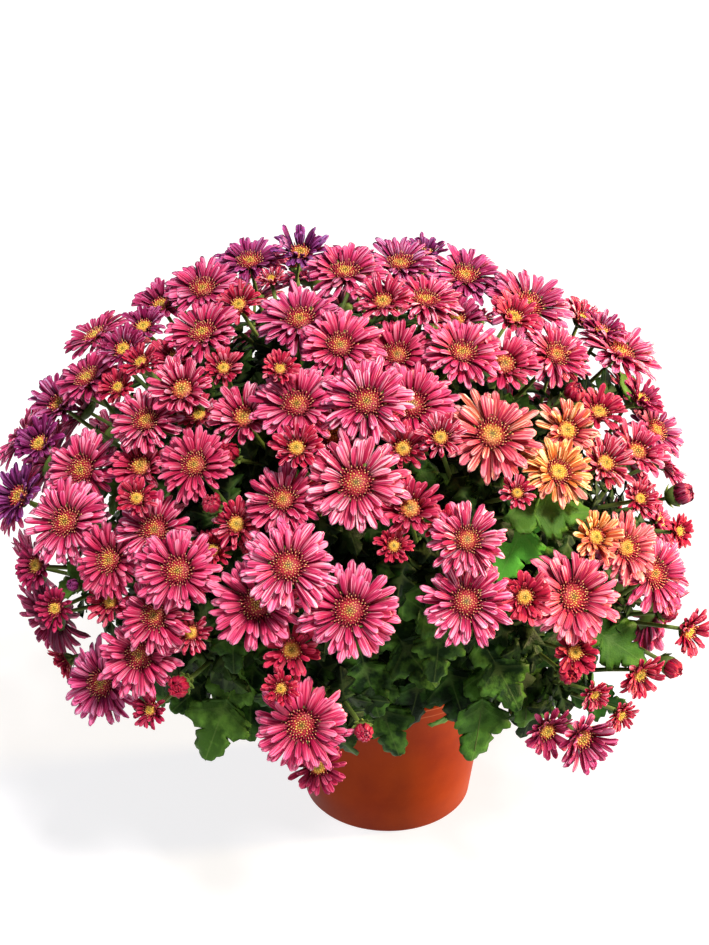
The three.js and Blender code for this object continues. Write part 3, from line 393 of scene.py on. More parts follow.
def bloom_at(point, reach, number, front_pull):
    """A bloom that faces out and up, with a jitter, and never back towards the heart."""
    out = outward_at(point)
    to_front = unit(STATION - point)
    jitter = np.array([2 * draw(number, purpose) - 1 for purpose in DRAWS["tilt"]])
    axis = out + to_front * front_pull + jitter * TILT_JITTER
    axis[2] += LIFT
    axis = unit(axis)
    from_heart = unit(point - HEART)
    lack = STRAIGHTEST - axis @ from_heart
    if lack > 0:
        axis = axis + from_heart * STRAIGHTENING * lack
    slide = to_front if front_pull > 0 else out
    place = point + slide * DEPTH_JITTER * (2 * draw(number, DRAWS["depth"]) - 1)
    return dict(place=place, slide=slide, axis=unit(axis), reach=reach, number=number,
                spin=draw(number, DRAWS["spin"]) * math.pi)


def face_blooms():
    """The blooms of FACE_ROWS, set on the mound."""
    made = []
    for number, (right, down, diameter) in enumerate(FACE_ROWS):
        point = on_mound(right, down, 1)
        reach = diameter / 2 * math.dist(point, STATION) / UNITS_PER_RADIAN
        made.append(bloom_at(point, reach, number, FRONT_PULL))
    return made


def rear_blooms(face):
    """The hidden side carries on at the same spacing, on a golden-angle spiral."""
    made = []
    for turn in range(REAR["turns"]):
        sine = REAR["from_sine"] + (1 - REAR["from_sine"]) * (turn + 0.5) / REAR["turns"]
        level = MOUND_ACROSS * math.sqrt(1 - sine * sine)
        angle = turn * GOLDEN_ANGLE
        vertical = MOUND_UP if sine > 0 else MOUND_DOWN
        point = MOUND_CENTRE + np.array(
            [level * math.cos(angle), level * math.sin(angle), vertical * sine])
        out = outward_at(point)
        hidden = out @ unit(STATION - point) < REAR["turned_away"]
        clear = all(math.dist(b["place"], point) > REAR["spacing"] for b in face + made)
        if not (hidden and clear):
            continue
        number = len(face) + len(made)
        size = draw(number, DRAWS["size"])
        reach = mix(REAR["least"], REAR["most"], size)
        reach *= REAR["small"] if size < REAR["small_share"] else 1
        made.append(bloom_at(point - out * REAR["sink"], reach, number, 0))
    return made


def settled(blooms):
    """The largest blooms take their places first, and the others slide until they are clear."""
    placed = []
    for bloom in sorted(blooms, key=lambda b: -b["reach"]):
        moved = ({**bloom, "place": bloom["place"] + bloom["slide"] * step} for step in SLIDES)
        options = ({"bloom": b, "things": [head_thing(b)]} for b in moved)
        placed.append(clearest(options, [p["things"][0] for p in placed]))
    return [{**p["bloom"], "head": p["things"][0]} for p in placed]


def in_sprays(blooms):
    """Blooms go to the spray whose first bloom is nearest; first blooms are far apart."""
    places = np.array([b["place"] for b in blooms])
    firsts = [0]
    spare = distances(places, places[0])
    while len(firsts) < SPRAY_COUNT:
        firsts.append(int(spare.argmax()))
        spare = np.minimum(spare, distances(places, places[firsts[-1]]))
    sprays = [[] for _ in firsts]
    for bloom in blooms:
        nearest = distances(places[firsts], bloom["place"]).argmin()
        sprays[int(nearest)].append(bloom)
    made = []
    for members in sprays:
        middle = np.mean([b["place"] for b in members], axis=0)
        members.sort(key=lambda b: math.dist(b["place"], middle))
        made.append(dict(members=members, fork=mix(middle, HEART, FORK_DEPTH)))
    return made


def head_foot(bloom):
    return bloom["place"] + bloom["axis"] * head_heights(bloom["reach"])[0]


def plant_foot(index):
    """Where a plant's stem stands at the bottom of its socket in the soil."""
    angle = (index + 0.25) * 2 * math.pi / PLANT_COUNT
    return np.array([PLANT["circle"] * math.cos(angle), PLANT["circle"] * math.sin(angle),
                     SOIL["top"] - SOIL["socket"]])


def plant_of(point):
    """The plant that a point belongs to: the one on its side of the pot."""
    feet = [3 * plant_foot(index) for index in range(PLANT_COUNT)]
    far = [math.hypot(point[0] - foot[0], point[1] - foot[1]) for foot in feet]
    return far.index(min(far))


def plant_crown(index):
    return np.append(plant_foot(index)[:2], SOIL["top"] + PLANT["rise"])


def bend_point(curve, t):
    """A point at a share of a curve that leaves its first point towards the second."""
    a, b, c = curve
    return (1 - t) ** 2 * a + 2 * (1 - t) * t * b + t * t * c


def bend_tangent(curve, t):
    return unit(bend_point(curve, min(1, t + 1e-4)) - bend_point(curve, max(0, t - 1e-4)))


def spray_things(spray):
    """The heads and pedicels of a spray."""
    heads = [b["head"] for b in spray["members"]]
    return heads + [rod_thing([spray["fork"], head_foot(b)], PEDICEL["radius"])
                    for b in spray["members"]]


def branches_of(sprays):
    """One branch a spray, from its plant's crown over the pot's rim to the spray's fork."""
    in_the_way = []
    for number, spray in enumerate(sprays):
        in_the_way += [(number, thing) for thing in spray_things(spray)]
    branches = []
    for number, spray in enumerate(sprays):
        fork = spray["fork"]
        plant = plant_of(fork)
        start = plant_crown(plant) + np.array([0, 0, PLANT["crown_rise"]])
        options = []
        for arch in PLANT["arches"]:
            bend = mix(start, fork, PLANT["bend"])
            bend[2] = max((start[2] + fork[2]) / 2 + arch, POT["height"] + PLANT["over_rim"])
            approach = unit(fork - bend)
            curve = (start, bend, fork - approach * (PEDICEL["hub_drop"] + GAP))
            points = [bend_point(curve, at) for at in BRANCH_RINGS]
            options.append(dict(curve=curve, points=points, approach=approach,
                                things=[rod_thing(points[1:], NEAREST["branch"])]))
        others = [thing for owner, thing in in_the_way if owner != number]
        branches.append({**clearest(options, others), "number": number, "plant": plant})
    return branches


def branch_leaf_options(branch, order):
    """The ways a leaf can stand round its branch at one height."""
    at = BRANCH_LEAVES["at"][order]
    start = bend_point(branch["curve"], at)
    out = outward_at(start)
    up = unit(out + np.array([0, 0, BRANCH_LEAVES["lift"]]))
    side = unit(np.cross(bend_tangent(branch["curve"], at), up))
    other = np.cross(up, side)
    item = 2 * branch["number"] + order
    length = BRANCH_LEAVES["length"] + BRANCH_LEAVES["spread"] * draw(item, DRAWS["leaf_length"])
    around = BRANCH_LEAVES["around"]
    for turn in range(BRANCH_LEAVES["turns"]):
        angle = (item + turn) * GOLDEN_ANGLE
        along = side * around * math.cos(angle) + other * around * math.sin(angle)
        along = unit(along + out * BRANCH_LEAVES["outward"][order])
        leaf = dict(base=start + along * BRANCH_LEAVES["stalk"], along=along, up=up, length=length)
        yield dict(leaf=leaf, branch=branch["number"], at=at, things=[leaf_thing(leaf)])


def shown_leaf(row, slide, turn, branches):
    """A shown leaf at one depth and turn, on a stalk from one of the nearest branches."""
    right, down, span, degrees, depth = row
    middle = on_mound(right, down, depth)
    scale = math.dist(middle, STATION) / UNITS_PER_RADIAN
    angle = math.radians(degrees + turn)
    step = 0.5 * span
    tip = sight_line(right + step * math.cos(angle), down + step * math.sin(angle))
    root = sight_line(right - step * math.cos(angle), down - step * math.sin(angle))
    out = outward_at(middle)
    along = unit(unit(unit(tip) - unit(root)) + out * SHOWN_LEAF["outward"])
    up = unit(out + np.array(SHOWN_LEAF["up"]))
    length = span * scale * SHOWN_LEAF["stretch"]
    base = middle - along * length / 2 + unit(STATION - middle) * slide
    leaf = dict(base=base, along=along, up=up, length=length)
    spots = []
    for branch in branches:
        for at in STALK_SPOTS:
            point = bend_point(branch["curve"], at)
            off = base - point
            if off @ along > STRAIGHTEST * math.sqrt(off @ off):
                spots.append((math.dist(point, base), branch["number"], at, point))
    spots.sort(key=lambda spot: spot[0])
    for rank in LEAF_SPOTS:
        if rank < len(spots):
            _, branch, at, point = spots[rank]
            stalk = rod_thing([mix(point, base, SHOWN_LEAF["stalk_from"]), base], LEAF["stalk"])
            yield dict(leaf=leaf, branch=branch, at=at, things=[leaf_thing(leaf), stalk])


def leaves_of(sprays, branches):
    """Every leaf: those that show, and those of the branches where there is room."""
    in_the_way = [thing for spray in sprays for thing in spray_things(spray)]
    rods = [rod_thing(branch["points"], PLANT["branch"]) for branch in branches]
    leaves = []

    def taken(own):
        others = [rod for number, rod in enumerate(rods) if number != own]
        return in_the_way + others + [thing for leaf in leaves for thing in leaf["things"]]

    for row in SHOWN_LEAVES:
        options = (option for slide in LEAF_SLIDES for turn in LEAF_TURNS
                   for option in shown_leaf(row, slide, turn, branches))
        leaves.append(clearest(options, taken(-1)))
    for order in (0, 1):
        for branch in branches:
            best = clearest(branch_leaf_options(branch, order), taken(branch["number"]))
            if best["hits"] == 0:
                leaves.append(best)
    return leaves


# ---- Shapes that are copied many times -----------------------------------------------------------
class Shape:
    """A small closed mesh that bmesh operators made, ready to be copied by a rule."""

    def __init__(self, bm):
        bm.verts.index_update()
        self.points = np.array([v.co for v in bm.verts])
        self.loops = np.array([v.index for face in bm.faces for v in face.verts])
        self.sizes = np.array([len(face.verts) for face in bm.faces])
        bm.free()


def sheet(columns, rows):
    """A thin sheet: x from -1 to 1 across, y from 0 to 1 along, and its back at z = -1."""
    bm = bmesh.new()
    bmesh.ops.create_grid(bm, x_segments=columns, y_segments=rows, size=1)
    bmesh.ops.translate(bm, verts=bm.verts, vec=(0, 1, 0))
    bmesh.ops.scale(bm, verts=bm.verts, vec=(1, 0.5, 1))
    back = bmesh.ops.duplicate(bm, geom=bm.verts[:] + bm.edges[:] + bm.faces[:])["geom"]
    bmesh.ops.reverse_faces(bm, faces=[g for g in back if isinstance(g, bmesh.types.BMFace)])
    inner = [g for g in back if isinstance(g, bmesh.types.BMVert) and not g.is_boundary]
    bmesh.ops.translate(bm, verts=inner, vec=(0, 0, -1))
    bmesh.ops.remove_doubles(bm, verts=bm.verts, dist=1e-4)
    return Shape(bm)


def rod(sides, lengths, foot=1.0):
    """A round rod of radius 1, and foot at its start, along z from 0 to 1."""
    bm = bmesh.new()
    bmesh.ops.create_cone(bm, cap_ends=True, segments=sides, radius1=foot, radius2=1, depth=1)
    bmesh.ops.translate(bm, verts=bm.verts, vec=(0, 0, 0.5))
    upright = [e for e in bm.edges if abs(e.verts[0].co.z - e.verts[1].co.z) > 0.5]
    if lengths > 1:
        bmesh.ops.subdivide_edges(bm, edges=upright, cuts=lengths - 1, use_grid_fill=True)
    return Shape(bm)


def spun(profile, steps):
    """A profile of [radius, height] pairs turned round z, with its poles and seam closed."""
    bm = bmesh.new()
    verts = [bm.verts.new((radius, 0, height)) for radius, height in profile]
    edges = [bm.edges.new(pair) for pair in zip(verts, verts[1:])]
    bmesh.ops.spin(bm, geom=verts + edges, cent=(0, 0, 0), axis=(0, 0, 1), angle=2 * math.pi,
                   steps=steps, use_merge=True)
    bmesh.ops.remove_doubles(bm, verts=bm.verts, dist=1e-3)
    bmesh.ops.recalc_face_normals(bm, faces=bm.faces)
    return bm


def ball(subdivisions):
    """A round ball of radius 1."""
    bm = bmesh.new()
    bmesh.ops.create_icosphere(bm, subdivisions=subdivisions, radius=1)
    return Shape(bm)


FLORET = sheet(4, 4)
BRACT = sheet(2, 3)
STALK = rod(8, 7)
THIN_STALK = rod(6, 4)
RIB = rod(5, 5)
DISC_FLORET = rod(3, 1, foot=2.6)
DOME = ball(2)
CUP = Shape(spun([(0, 0), (0.2, 0), (0.5, 0.16), (0.8, 0.5), (1, 1), (0, 1.1)], 10))
CRUMB = ball(1)


# How a mesh keeps a number, a place and a colour for each of its points.
ATTRIBUTE_KINDS = {(): ("FLOAT", "value"), (3,): ("FLOAT_VECTOR", "vector"),
                   (4,): ("FLOAT_COLOR", "color")}


class Gathering:
    """Copies of shapes, joined in one mesh, with the values that their material reads."""

    def __init__(self):
        self.points, self.loops, self.sizes, self.values = [], [], [], {}
        self.count = 0

    def add(self, shape, points, **values):
        """A value is one for the whole copy, or an array with one for each point."""
        self.points.append(points)
        self.loops.append(shape.loops + self.count)
        self.sizes.append(shape.sizes)
        for name, value in values.items():
            value = np.asarray(value)
            if value.shape[:1] != (len(points),):
                value = np.broadcast_to(value, (len(points), *value.shape))
            self.values.setdefault(name, []).append(value)
        self.count += len(points)

    def piece(self, name, material):
        """The copies as one smooth object, with their values as attributes."""
        loops, sizes = np.concatenate(self.loops), np.concatenate(self.sizes)
        mesh = bpy.data.meshes.new(name)
        mesh.vertices.add(self.count)
        mesh.vertices.foreach_set("co", (np.concatenate(self.points) * MM).ravel())
        mesh.loops.add(len(loops))
        mesh.loops.foreach_set("vertex_index", loops)
        mesh.polygons.add(len(sizes))
        mesh.polygons.foreach_set("loop_start", np.cumsum(sizes) - sizes)
        mesh.update(calc_edges=True)
        mesh.validate()
        mesh.shade_smooth()
        for key, values in self.values.items():
            values = np.concatenate(values).astype(np.float32)
            kind, field = ATTRIBUTE_KINDS[values.shape[1:]]
            mesh.attributes.new(key, kind, "POINT").data.foreach_set(field, values.ravel())
        return new_piece(name, mesh, material)


def set_out(points, origin, axes):
    """Rows of x, y and z, laid along three axes from an origin."""
    x, y, z = points
    return origin + np.outer(x, axes[0]) + np.outer(y, axes[1]) + np.outer(z, axes[2])


def mesh_of(bm, name, scale=MM):
    """A mesh in metres, from a bmesh that is in millimetres if nothing else is said."""
    bmesh.ops.scale(bm, verts=bm.verts, vec=(scale, scale, scale))
    mesh = bpy.data.meshes.new(name)
    bm.to_mesh(mesh)
    bm.free()
    return mesh


def new_piece(name, mesh, material):
    """An object of a mesh in one material, where the mesh puts it."""
    piece = bpy.data.objects.new(name, mesh)
    bpy.context.collection.objects.link(piece)
    mesh.materials.append(material)
    return piece


# ---- Colours -------------------------------------------------------------------------------------
def linear(code):
    """A colour as Blender wants it, from its sRGB hex value."""
    parts = [int(code[i:i + 2], 16) / 255 for i in (1, 3, 5)]
    lit = [c / 12.92 if c <= 0.04045 else ((c + 0.055) / 1.055) ** 2.4 for c in parts]
    return np.array(lit + [1])


def graded(share, *stops):
    """The colour at a share, or at each of an array of shares, between stops of [share, colour]."""
    at = [stop[0] for stop in stops]
    channels = np.array([linear(stop[1]) for stop in stops]).T
    return np.stack([np.interp(share, at, channel) for channel in channels], axis=-1)


# Along a ray floret, from its claw to its tip. The dark claw is partly its own crimson and partly painted
# shade under the disc.
PINK = ((0, "#520418"), (0.22, "#A40E3E"), (0.42, "#DE2E64"), (0.75, "#FA6698"), (1, "#FF94B6"))
CRIMSON = ((0, "#480410"), (0.35, "#A00A28"), (0.75, "#D02C4C"), (1, "#EE6078"))
GOLD = ((0, "#8E2410"), (0.35, "#DC7C1C"), (0.7, "#F0A83C"), (1, "#F29C7C"))
PEACH = ((0, "#8E1024"), (0.35, "#D44838"), (0.75, "#F08E70"), (1, "#F6A694"))
# Painted purple shade along a floret, for the blooms tinted violet.
PLUM_SHADE = ((0, "#200420"), (1, "#70309A"))
MAUVE = ((0, "#7A2A58"), (1, "#B8709C"))
# Streaks, from a pink floret to an amber one: partly the floret's own streaks, partly painted highlight
# and shade on its folds.
PALE_STREAK_AND_HIGHLIGHT = ((0, "#FFC6D6"), (0.5, "#FFDCC0"), (1, "#FFE8A4"))
DARK_STREAK_AND_SHADE = ((0, "#920A38"), (1, "#B43C18"))
# The pale and dark streaks of a bloom in painted violet shade.
VIOLET_SHADE_PALE, VIOLET_SHADE_DARK = linear("#8E5CB0"), linear("#260628")
# The two ends of a bloom's tone, partly its own and partly painted skylight: blooms that face the sky are
# painted nearer the cool one.
WARM, COOL_TONE_AND_SKYLIGHT = np.array([1.0, 0.93, 0.89, 1]), np.array([1.0, 1.0, 1.04, 1])
# How far each colour goes at its fullest.
FULLEST = dict(peach=0.75, gold=0.85, plum_shade=0.72, mauve=0.75, violet_shade_streak=0.8, shut=0.85)
# Disc florets, from the middle of the disc to its rim.
DISC_TOPS = ((0, "#4E5010"), (0.05, "#B09A30"), (0.1, "#F8E070"), (0.3, "#FCE690"), (0.5, "#FAD488"),
             (0.8, "#F8C084"), (1, "#F4A880"))
DISC_BED = ((0, "#4A4A10"), (0.08, "#ECD03C"), (0.32, "#F2D048"), (0.46, "#B02438"), (1, "#7C0A2C"))
DISC_SIDES = ((0, "#5A5A14"), (0.06, "#E8D03C"), (0.32, "#F2CE4C"), (0.46, "#BC2440"), (0.7, "#AC1842"),
              (1, "#901038"))
# In a young bloom's disc the colours of the middle reach further out. Some florets of the outer
# part are still shut, with crimson tops.
YOUNG_DISC = 0.74
SHUT_TOP, SHUT_FROM, SHUT_GRAIN = linear("#C43450"), 0.4, 0.62
STEM_GREENS = ((0, "#2E2C16"), (0.3, "#36441A"), (0.6, "#4C6428"), (1, "#74883C"))
LEAF_DEEP = ((0, "#051804"), (1, "#122E08"))
LEAF_LIT = ((0, "#245412"), (1, "#629034"))
# Painted shade that shaded leaves darken to, the leaves' back, and painted sunlight for the sunlit leaf.
LEAF_SHADE, LEAF_BACK, LEAF_PAINTED_SUN = linear("#020602"), linear("#56703C"), linear("#64C440")


def floret_colours(share, under, grain, tints):
    """A ray floret's skin, its pale and dark streaks (partly painted highlight and shade on its folds)
    and how strong the pale ones are, with its bloom's painted violet shade and skylight.

    Share runs from claw to tip, under is 1 on the back, and grain is the floret's own draw.
    """
    youth, amber, violet_shade, tone_and_skylight = tints
    skin = mix(graded(share, *PINK), graded(share, *CRIMSON), youth)
    skin = mix(skin, graded(share, *PEACH), FULLEST["peach"] * amber)
    # Only the florets of a low grain turn to gold, and less so at the tip.
    gilt = min(1, max(0, 1.6 * (1.45 * amber - grain - 0.4)))
    golden = gilt * np.clip(1.2 - 0.8 * share, 0, FULLEST["gold"])
    skin = mix(skin, graded(share, *GOLD), golden[:, None])
    skin = mix(skin, graded(share, *PLUM_SHADE), FULLEST["plum_shade"] * violet_shade)
    skin = mix(skin, graded(share, *MAUVE), ((FULLEST["mauve"] - 0.7 * youth) * under)[:, None])
    skin = skin * mix(WARM, COOL_TONE_AND_SKYLIGHT, tone_and_skylight) * mix(0.82, 1.12, grain)
    pale = graded(amber * (0.5 + 0.5 * gilt), *PALE_STREAK_AND_HIGHLIGHT)
    pale = mix(pale, VIOLET_SHADE_PALE, FULLEST["violet_shade_streak"] * violet_shade)
    dark = mix(graded(gilt, *DARK_STREAK_AND_SHADE), VIOLET_SHADE_DARK, violet_shade)
    # How strong the pale streaks are: stronger towards the tip and on amber blooms, and a painted
    # highlight on blooms that face the sky.
    gleam = share * (0.35 + 1.5 * tone_and_skylight**2 - 0.3 * youth + 0.8 * amber) * (1.5 - grain)
    return dict(skin=skin, pale=pale, dark=dark, gleam=np.clip(gleam, 0, 1))


def disc_colours(rim, grain, youth):
    """A disc floret's side and top, by its place from the middle to the rim."""
    place = max(0.5 * rim, rim + 0.24 * (grain - 0.5)) * mix(1, YOUNG_DISC, youth)
    shut = FULLEST["shut"] if place > SHUT_FROM and grain > SHUT_GRAIN else 0
    return dict(side=graded(place, *DISC_SIDES), top=mix(graded(place, *DISC_TOPS), SHUT_TOP, shut))


def leaf_colours(shape, grain, shaded):
    """A leaf's skin and its lighter patches, with painted shade and sunlight: shaded is 1 in deep shade
    and -1 in full sun.

    The lobes' edges are a little lighter than the middle of the leaf.
    """
    x, _, z = shape.points.T
    edge, under = np.abs(x) ** 5, 0.6 * -z[:, None]
    shade, sun = 0.85 * max(0, shaded), max(0, -shaded)
    deep, lit = (mix(graded(grain, *stops), LEAF_SHADE, shade) for stops in (LEAF_DEEP, LEAF_LIT))
    lit = mix(lit, LEAF_PAINTED_SUN, max(0, sun - 0.35))
    deep = mix(deep, lit, np.minimum(0.9, 2 * sun + 0.4 * edge)[:, None])
    back = mix(LEAF_BACK, LEAF_SHADE, shade)
    return dict(skin=mix(deep, back, under), lit=mix(lit, back, under))


# ---- Heads ---------------------------------------------------------------------------------------
# Half width of a ray floret along its length: a narrow claw, a broad blade and a blunt tip.
FLORET_OUTLINE = ((0, 0.4), (0.25, 0.7), (0.5, 0.92), (0.72, 1), (0.88, 0.95), (0.96, 0.76), (1, 0.5))
FLORET_THICKNESS = 0.35
TIP_ROUND, TIP_NOTCH = 0.07, 0.035
TIP_CROWDING = 1.6  # how much closer together the rows of a floret's mesh lie at its tip
GROOVE = 0.14  # how deep the two grooves along a floret are, as a share of its half width
# Lengthwise streaks are about 0.4 mm apart on the real floret, and drawn twice as coarse to show.
# Each runs on for about 24 mm.
STREAK, STREAK_LENGTH = 0.8, 24

# Whorls of ray florets: count, then root radius, length and half width as shares of the reach,
# root height above the disc's foot in millimetres, and the slope in degrees at root and tip.
WHORLS = {
    "open": ((24, 0.27, 0.88, 0.1, -0.9, 12, -12), (22, 0.28, 0.8, 0.094, 0, 22, 0),
             (18, 0.29, 0.6, 0.08, 0.8, 36, 13)),
    "young": ((15, 0.3, 0.88, 0.128, -0.4, 36, 8), (14, 0.31, 0.78, 0.11, 0.3, 50, 22),
              (10, 0.32, 0.56, 0.092, 0.8, 66, 42)),
    "bud": ((7, 0.36, 1.6, 0.36, 0, 28, 156), (6, 0.3, 1.5, 0.33, 0.5, 34, 152),
            (5, 0.2, 1.35, 0.25, 1, 48, 140)),
}


def along_arc(length, start, bend, t):
    """How far out and up an arc runs, for its slope at the start and its bend in radians."""
    out = length * (np.sin(start + bend * t) - math.sin(start)) / bend
    up = length * (math.cos(start) - np.cos(start + bend * t)) / bend
    return out, up


# How the florets of a head differ: spreads of the angle between them, of the slopes in degrees, of
# length and width, of twist and of sway, and the range of their folds. Buds are more regular.
SPREADS = dict(angle=0.3, root=3, tip=13, length=0.095, width=0.08, twist=0.24, sway=0.08)
BUD_SPREADS = dict(SPREADS, angle=0.03, tip=2)
FOLDS = (-0.1, 0.65)
HEAD_CUPPING = 5  # spread of the slope at the tips from head to head, in degrees


def floret_points(place, axes, floret):
    """A floret that arches away from its root, grooved and folded along, twisted and swayed."""
    x, y, z = FLORET.points.T
    y = 1 - (1 - y) ** TIP_CROWDING
    outer = np.clip((y - 0.6) / 0.4, 0, 1) ** 2
    t = y - outer * (TIP_ROUND * x * x + TIP_NOTCH * (1 - np.abs(x)) ** 2)
    start, end = (math.radians(slope) for slope in floret["slopes"])
    out, up = along_arc(floret["length"], start, end - start, t)
    theta = start + (end - start) * t
    wide = floret["half"] * np.interp(y, *zip(*FLORET_OUTLINE))
    groove = GROOVE * np.cos(2 * math.pi * x) * (0.4 + 0.6 * np.sin(math.pi * y))
    raised = wide * (floret["fold"] * x * x + groove) + FLORET_THICKNESS * z
    flat = x * wide
    turn = floret["twist"] * y
    normal = flat * np.sin(turn) + raised * np.cos(turn)
    flat = flat * np.cos(turn) - raised * np.sin(turn)
    flat += floret["sway"] * floret["length"] * y * y
    out = out + floret["root"] - normal * np.sin(theta)
    up = up + floret["lift"] + normal * np.cos(theta)
    return set_out((out, flat, up), place, axes)


def stage_of(reach):
    """A bloom's age by its size."""
    return "bud" if reach < BUD_UP_TO else "young" if reach < OPEN_FROM else "open"


# The reaches between which a bloom grows from fully young to fully grown, in colour.
YOUNG_REACH, GROWN_REACH = 15, 23


def tints_of(bloom):
    """Youth, amber, painted violet shade, and tone with painted skylight, of a bloom, each from 0 to 1.
    """
    number = bloom["number"]
    youth = float(np.clip((GROWN_REACH - bloom["reach"]) / (GROWN_REACH - YOUNG_REACH), 0, 1))
    # Blooms that face the sky get painted skylight: a cooler colour and stronger pale streaks.
    skyward = float(np.clip(2 * bloom["axis"][2] - 0.9, 0, 1))
    tone_and_skylight = 0.6 * draw(number, DRAWS["tone_and_skylight"]) + 0.4 * skyward
    if number < len(FACE_ROWS):
        spot = FACE_ROWS[number][:2]
        return youth, AMBER.get(spot, 0), PAINTED_VIOLET_SHADE.get(spot, 0), tone_and_skylight
    # Blooms of the far side get a random painted violet shade.
    return youth, 0, 0.5 * draw(number, DRAWS["violet_shade"]) ** 2, tone_and_skylight


def add_head(bloom, petals, discs, stalks):
    """The florets of one head, the disc or the bud's heart among them, and the calyx under them."""
    axis, reach = bloom["axis"], bloom["reach"]
    rng = np.random.default_rng(SEEDS["heads"] + bloom["number"])
    east, north = square_to(axis)
    foot, crown, _, _ = head_heights(reach)
    stage = stage_of(reach)
    height = BUD["edge"] * reach if stage == "bud" else crown - DISC_RISE
    tints = tints_of(bloom)

    def frame_at(angle):
        """Outwards, sideways and up for a floret at this angle round the head."""
        angle += bloom["spin"]
        return (east * math.cos(angle) + north * math.sin(angle),
                north * math.cos(angle) - east * math.sin(angle), axis)

    add_ray_florets(bloom, stage, height, frame_at, rng, petals, tints)
    if stage == "bud":
        add_bud_heart(bloom, (east, north, axis), petals, tints)
    else:
        add_disc(bloom, stage, height, frame_at, rng, discs, min(1, tints[0] + tints[1]))
    add_calyx(bloom, foot, height, frame_at, rng, stalks)


def add_ray_florets(bloom, stage, height, frame_at, rng, petals, tints):
    """The whorls of florets, each with its own slope, size, fold, twist, sway and tints."""
    reach, bud = bloom["reach"], stage == "bud"
    spreads = BUD_SPREADS if bud else SPREADS
    cupped = rng.normal(0, HEAD_CUPPING)
    x, y, z = FLORET.points.T
    for order, (count, root, length, half, lift, start, end) in enumerate(WHORLS[stage]):
        for k in range(count):
            angle = (k + 0.5 * (order % 2) + rng.normal(0, spreads["angle"])) * 2 * math.pi / count
            axes = frame_at(angle)
            tip = end + cupped + rng.normal(0, spreads["tip"])
            long = length * reach * (1 if bud else rng.normal(1, spreads["length"]))
            wide = half * reach * rng.normal(1, spreads["width"])
            floret = dict(root=root * reach, lift=height + lift, length=long, half=wide,
                          slopes=(start + rng.normal(0, spreads["root"]), tip),
                          fold=rng.uniform(*FOLDS), twist=rng.normal(0, spreads["twist"]),
                          sway=rng.normal(0, spreads["sway"]))
            own_streaks = np.full(len(x), rng.uniform(0, 90))
            spot = np.stack([x * wide / STREAK, y * long / STREAK_LENGTH, own_streaks], axis=1)
            ripe = 0.5 * y if bud else y
            # The upper florets of an amber bloom are the most golden ones.
            grain = float(np.clip(rng.uniform(0, 1) - 0.5 * tints[1] * axes[0][2], 0, 1))
            petals.add(FLORET, floret_points(bloom["place"], axes, floret), spot=spot,
                       **floret_colours(ripe, -z, grain, tints))


# The heart of a bud: width, height and place along the axis in shares of the reach, and the share
# and grain that its colour is taken from.
BUD_HEART = dict(wide=0.62, tall=0.9, up=0.25, ripe=0.3, grain=0.2)


def add_bud_heart(bloom, axes, petals, tints):
    """The florets that are still packed together inside a bud, as one closed form."""
    reach, wide = bloom["reach"], BUD_HEART["wide"]
    rows = (DOME.points * (wide * reach, wide * reach, BUD_HEART["tall"] * reach)).T
    points = set_out(rows, bloom["place"] + bloom["axis"] * BUD_HEART["up"] * reach, axes)
    ripe, under = np.full(len(points), BUD_HEART["ripe"]), np.zeros(len(points))
    petals.add(DOME, points, spot=points,
               **floret_colours(ripe, under, BUD_HEART["grain"], tints))


# Disc florets: count, disc radius as a share of the reach, and height of an outer floret.
DISCS = {"open": (150, 0.38, 3.3), "young": (84, 0.44, 2.2)}
# The bed that they stand on: its width as a share of the disc's, how far it goes on below its edge
# as a share of its rise, and how deep it lies.
DISC_BED_SHARE, DISC_BED_FOOT, DISC_BED_SUNK = 0.94, 0.1, 0.6
# Width against the disc's radius, how far the outer ones lean, how much the disc curves, how deep
# they stand, their length apart from that, the least length in the middle, and the spreads.
DISC_FLORETS = dict(wide=0.36, lean=1.3, curve=0.9, sunk=0.8, root=0.6, least=0.5,
                    lean_spread=0.08, wide_spread=0.1, long_spread=0.15)


def add_disc(bloom, stage, height, frame_at, rng, discs, youth):
    """A bed with disc florets on a golden-angle spiral, taller and leaning outwards at the rim."""
    place, axis = bloom["place"], bloom["axis"]
    count, share, tall = DISCS[stage]
    radius = share * bloom["reach"]
    bed_radius = DISC_BED_SHARE * radius
    x, y, z = (DOME.points * (bed_radius, bed_radius, DISC_RISE)).T
    z = np.maximum(z, -DISC_BED_FOOT * DISC_RISE)
    middle = place + axis * (height - DISC_BED_SUNK)
    bed = graded(np.hypot(x, y) / radius * mix(1, YOUNG_DISC, youth), *DISC_BED)
    discs.add(DOME, set_out((x, y, z), middle, frame_at(0)), tip=0, side=bed, top=bed)
    form = DISC_FLORETS
    wide = form["wide"] * radius / math.sqrt(count)
    for k in range(count):
        rim = math.sqrt((k + 0.5) / count)
        way, _, _ = frame_at(k * GOLDEN_ANGLE)
        up = unit(axis + way * (form["lean"] * rim**2 + rng.normal(0, form["lean_spread"])))
        rise = DISC_RISE * math.sqrt(1 - form["curve"] * rim * rim) - form["sunk"]
        start = middle + way * rim * radius + axis * rise
        size = wide * rng.normal(1, form["wide_spread"])
        stretch = rng.normal(1, form["long_spread"])
        length = form["root"] + mix(form["least"], tall, rim**1.5) * stretch
        rows = (DISC_FLORET.points * (size, size, length)).T
        discs.add(DISC_FLORET, set_out(rows, start, (*square_to(up), up)),
                  tip=DISC_FLORET.points[:, 2], **disc_colours(rim, rng.uniform(0, 1), youth))


# The calyx: its width against the reach and its top over the florets' roots, as a share of the
# reach on a bud and in millimetres on a bloom.
CALYX = dict(bud_wide=0.78, bud_top=0.25, wide=0.4, top=-0.5)
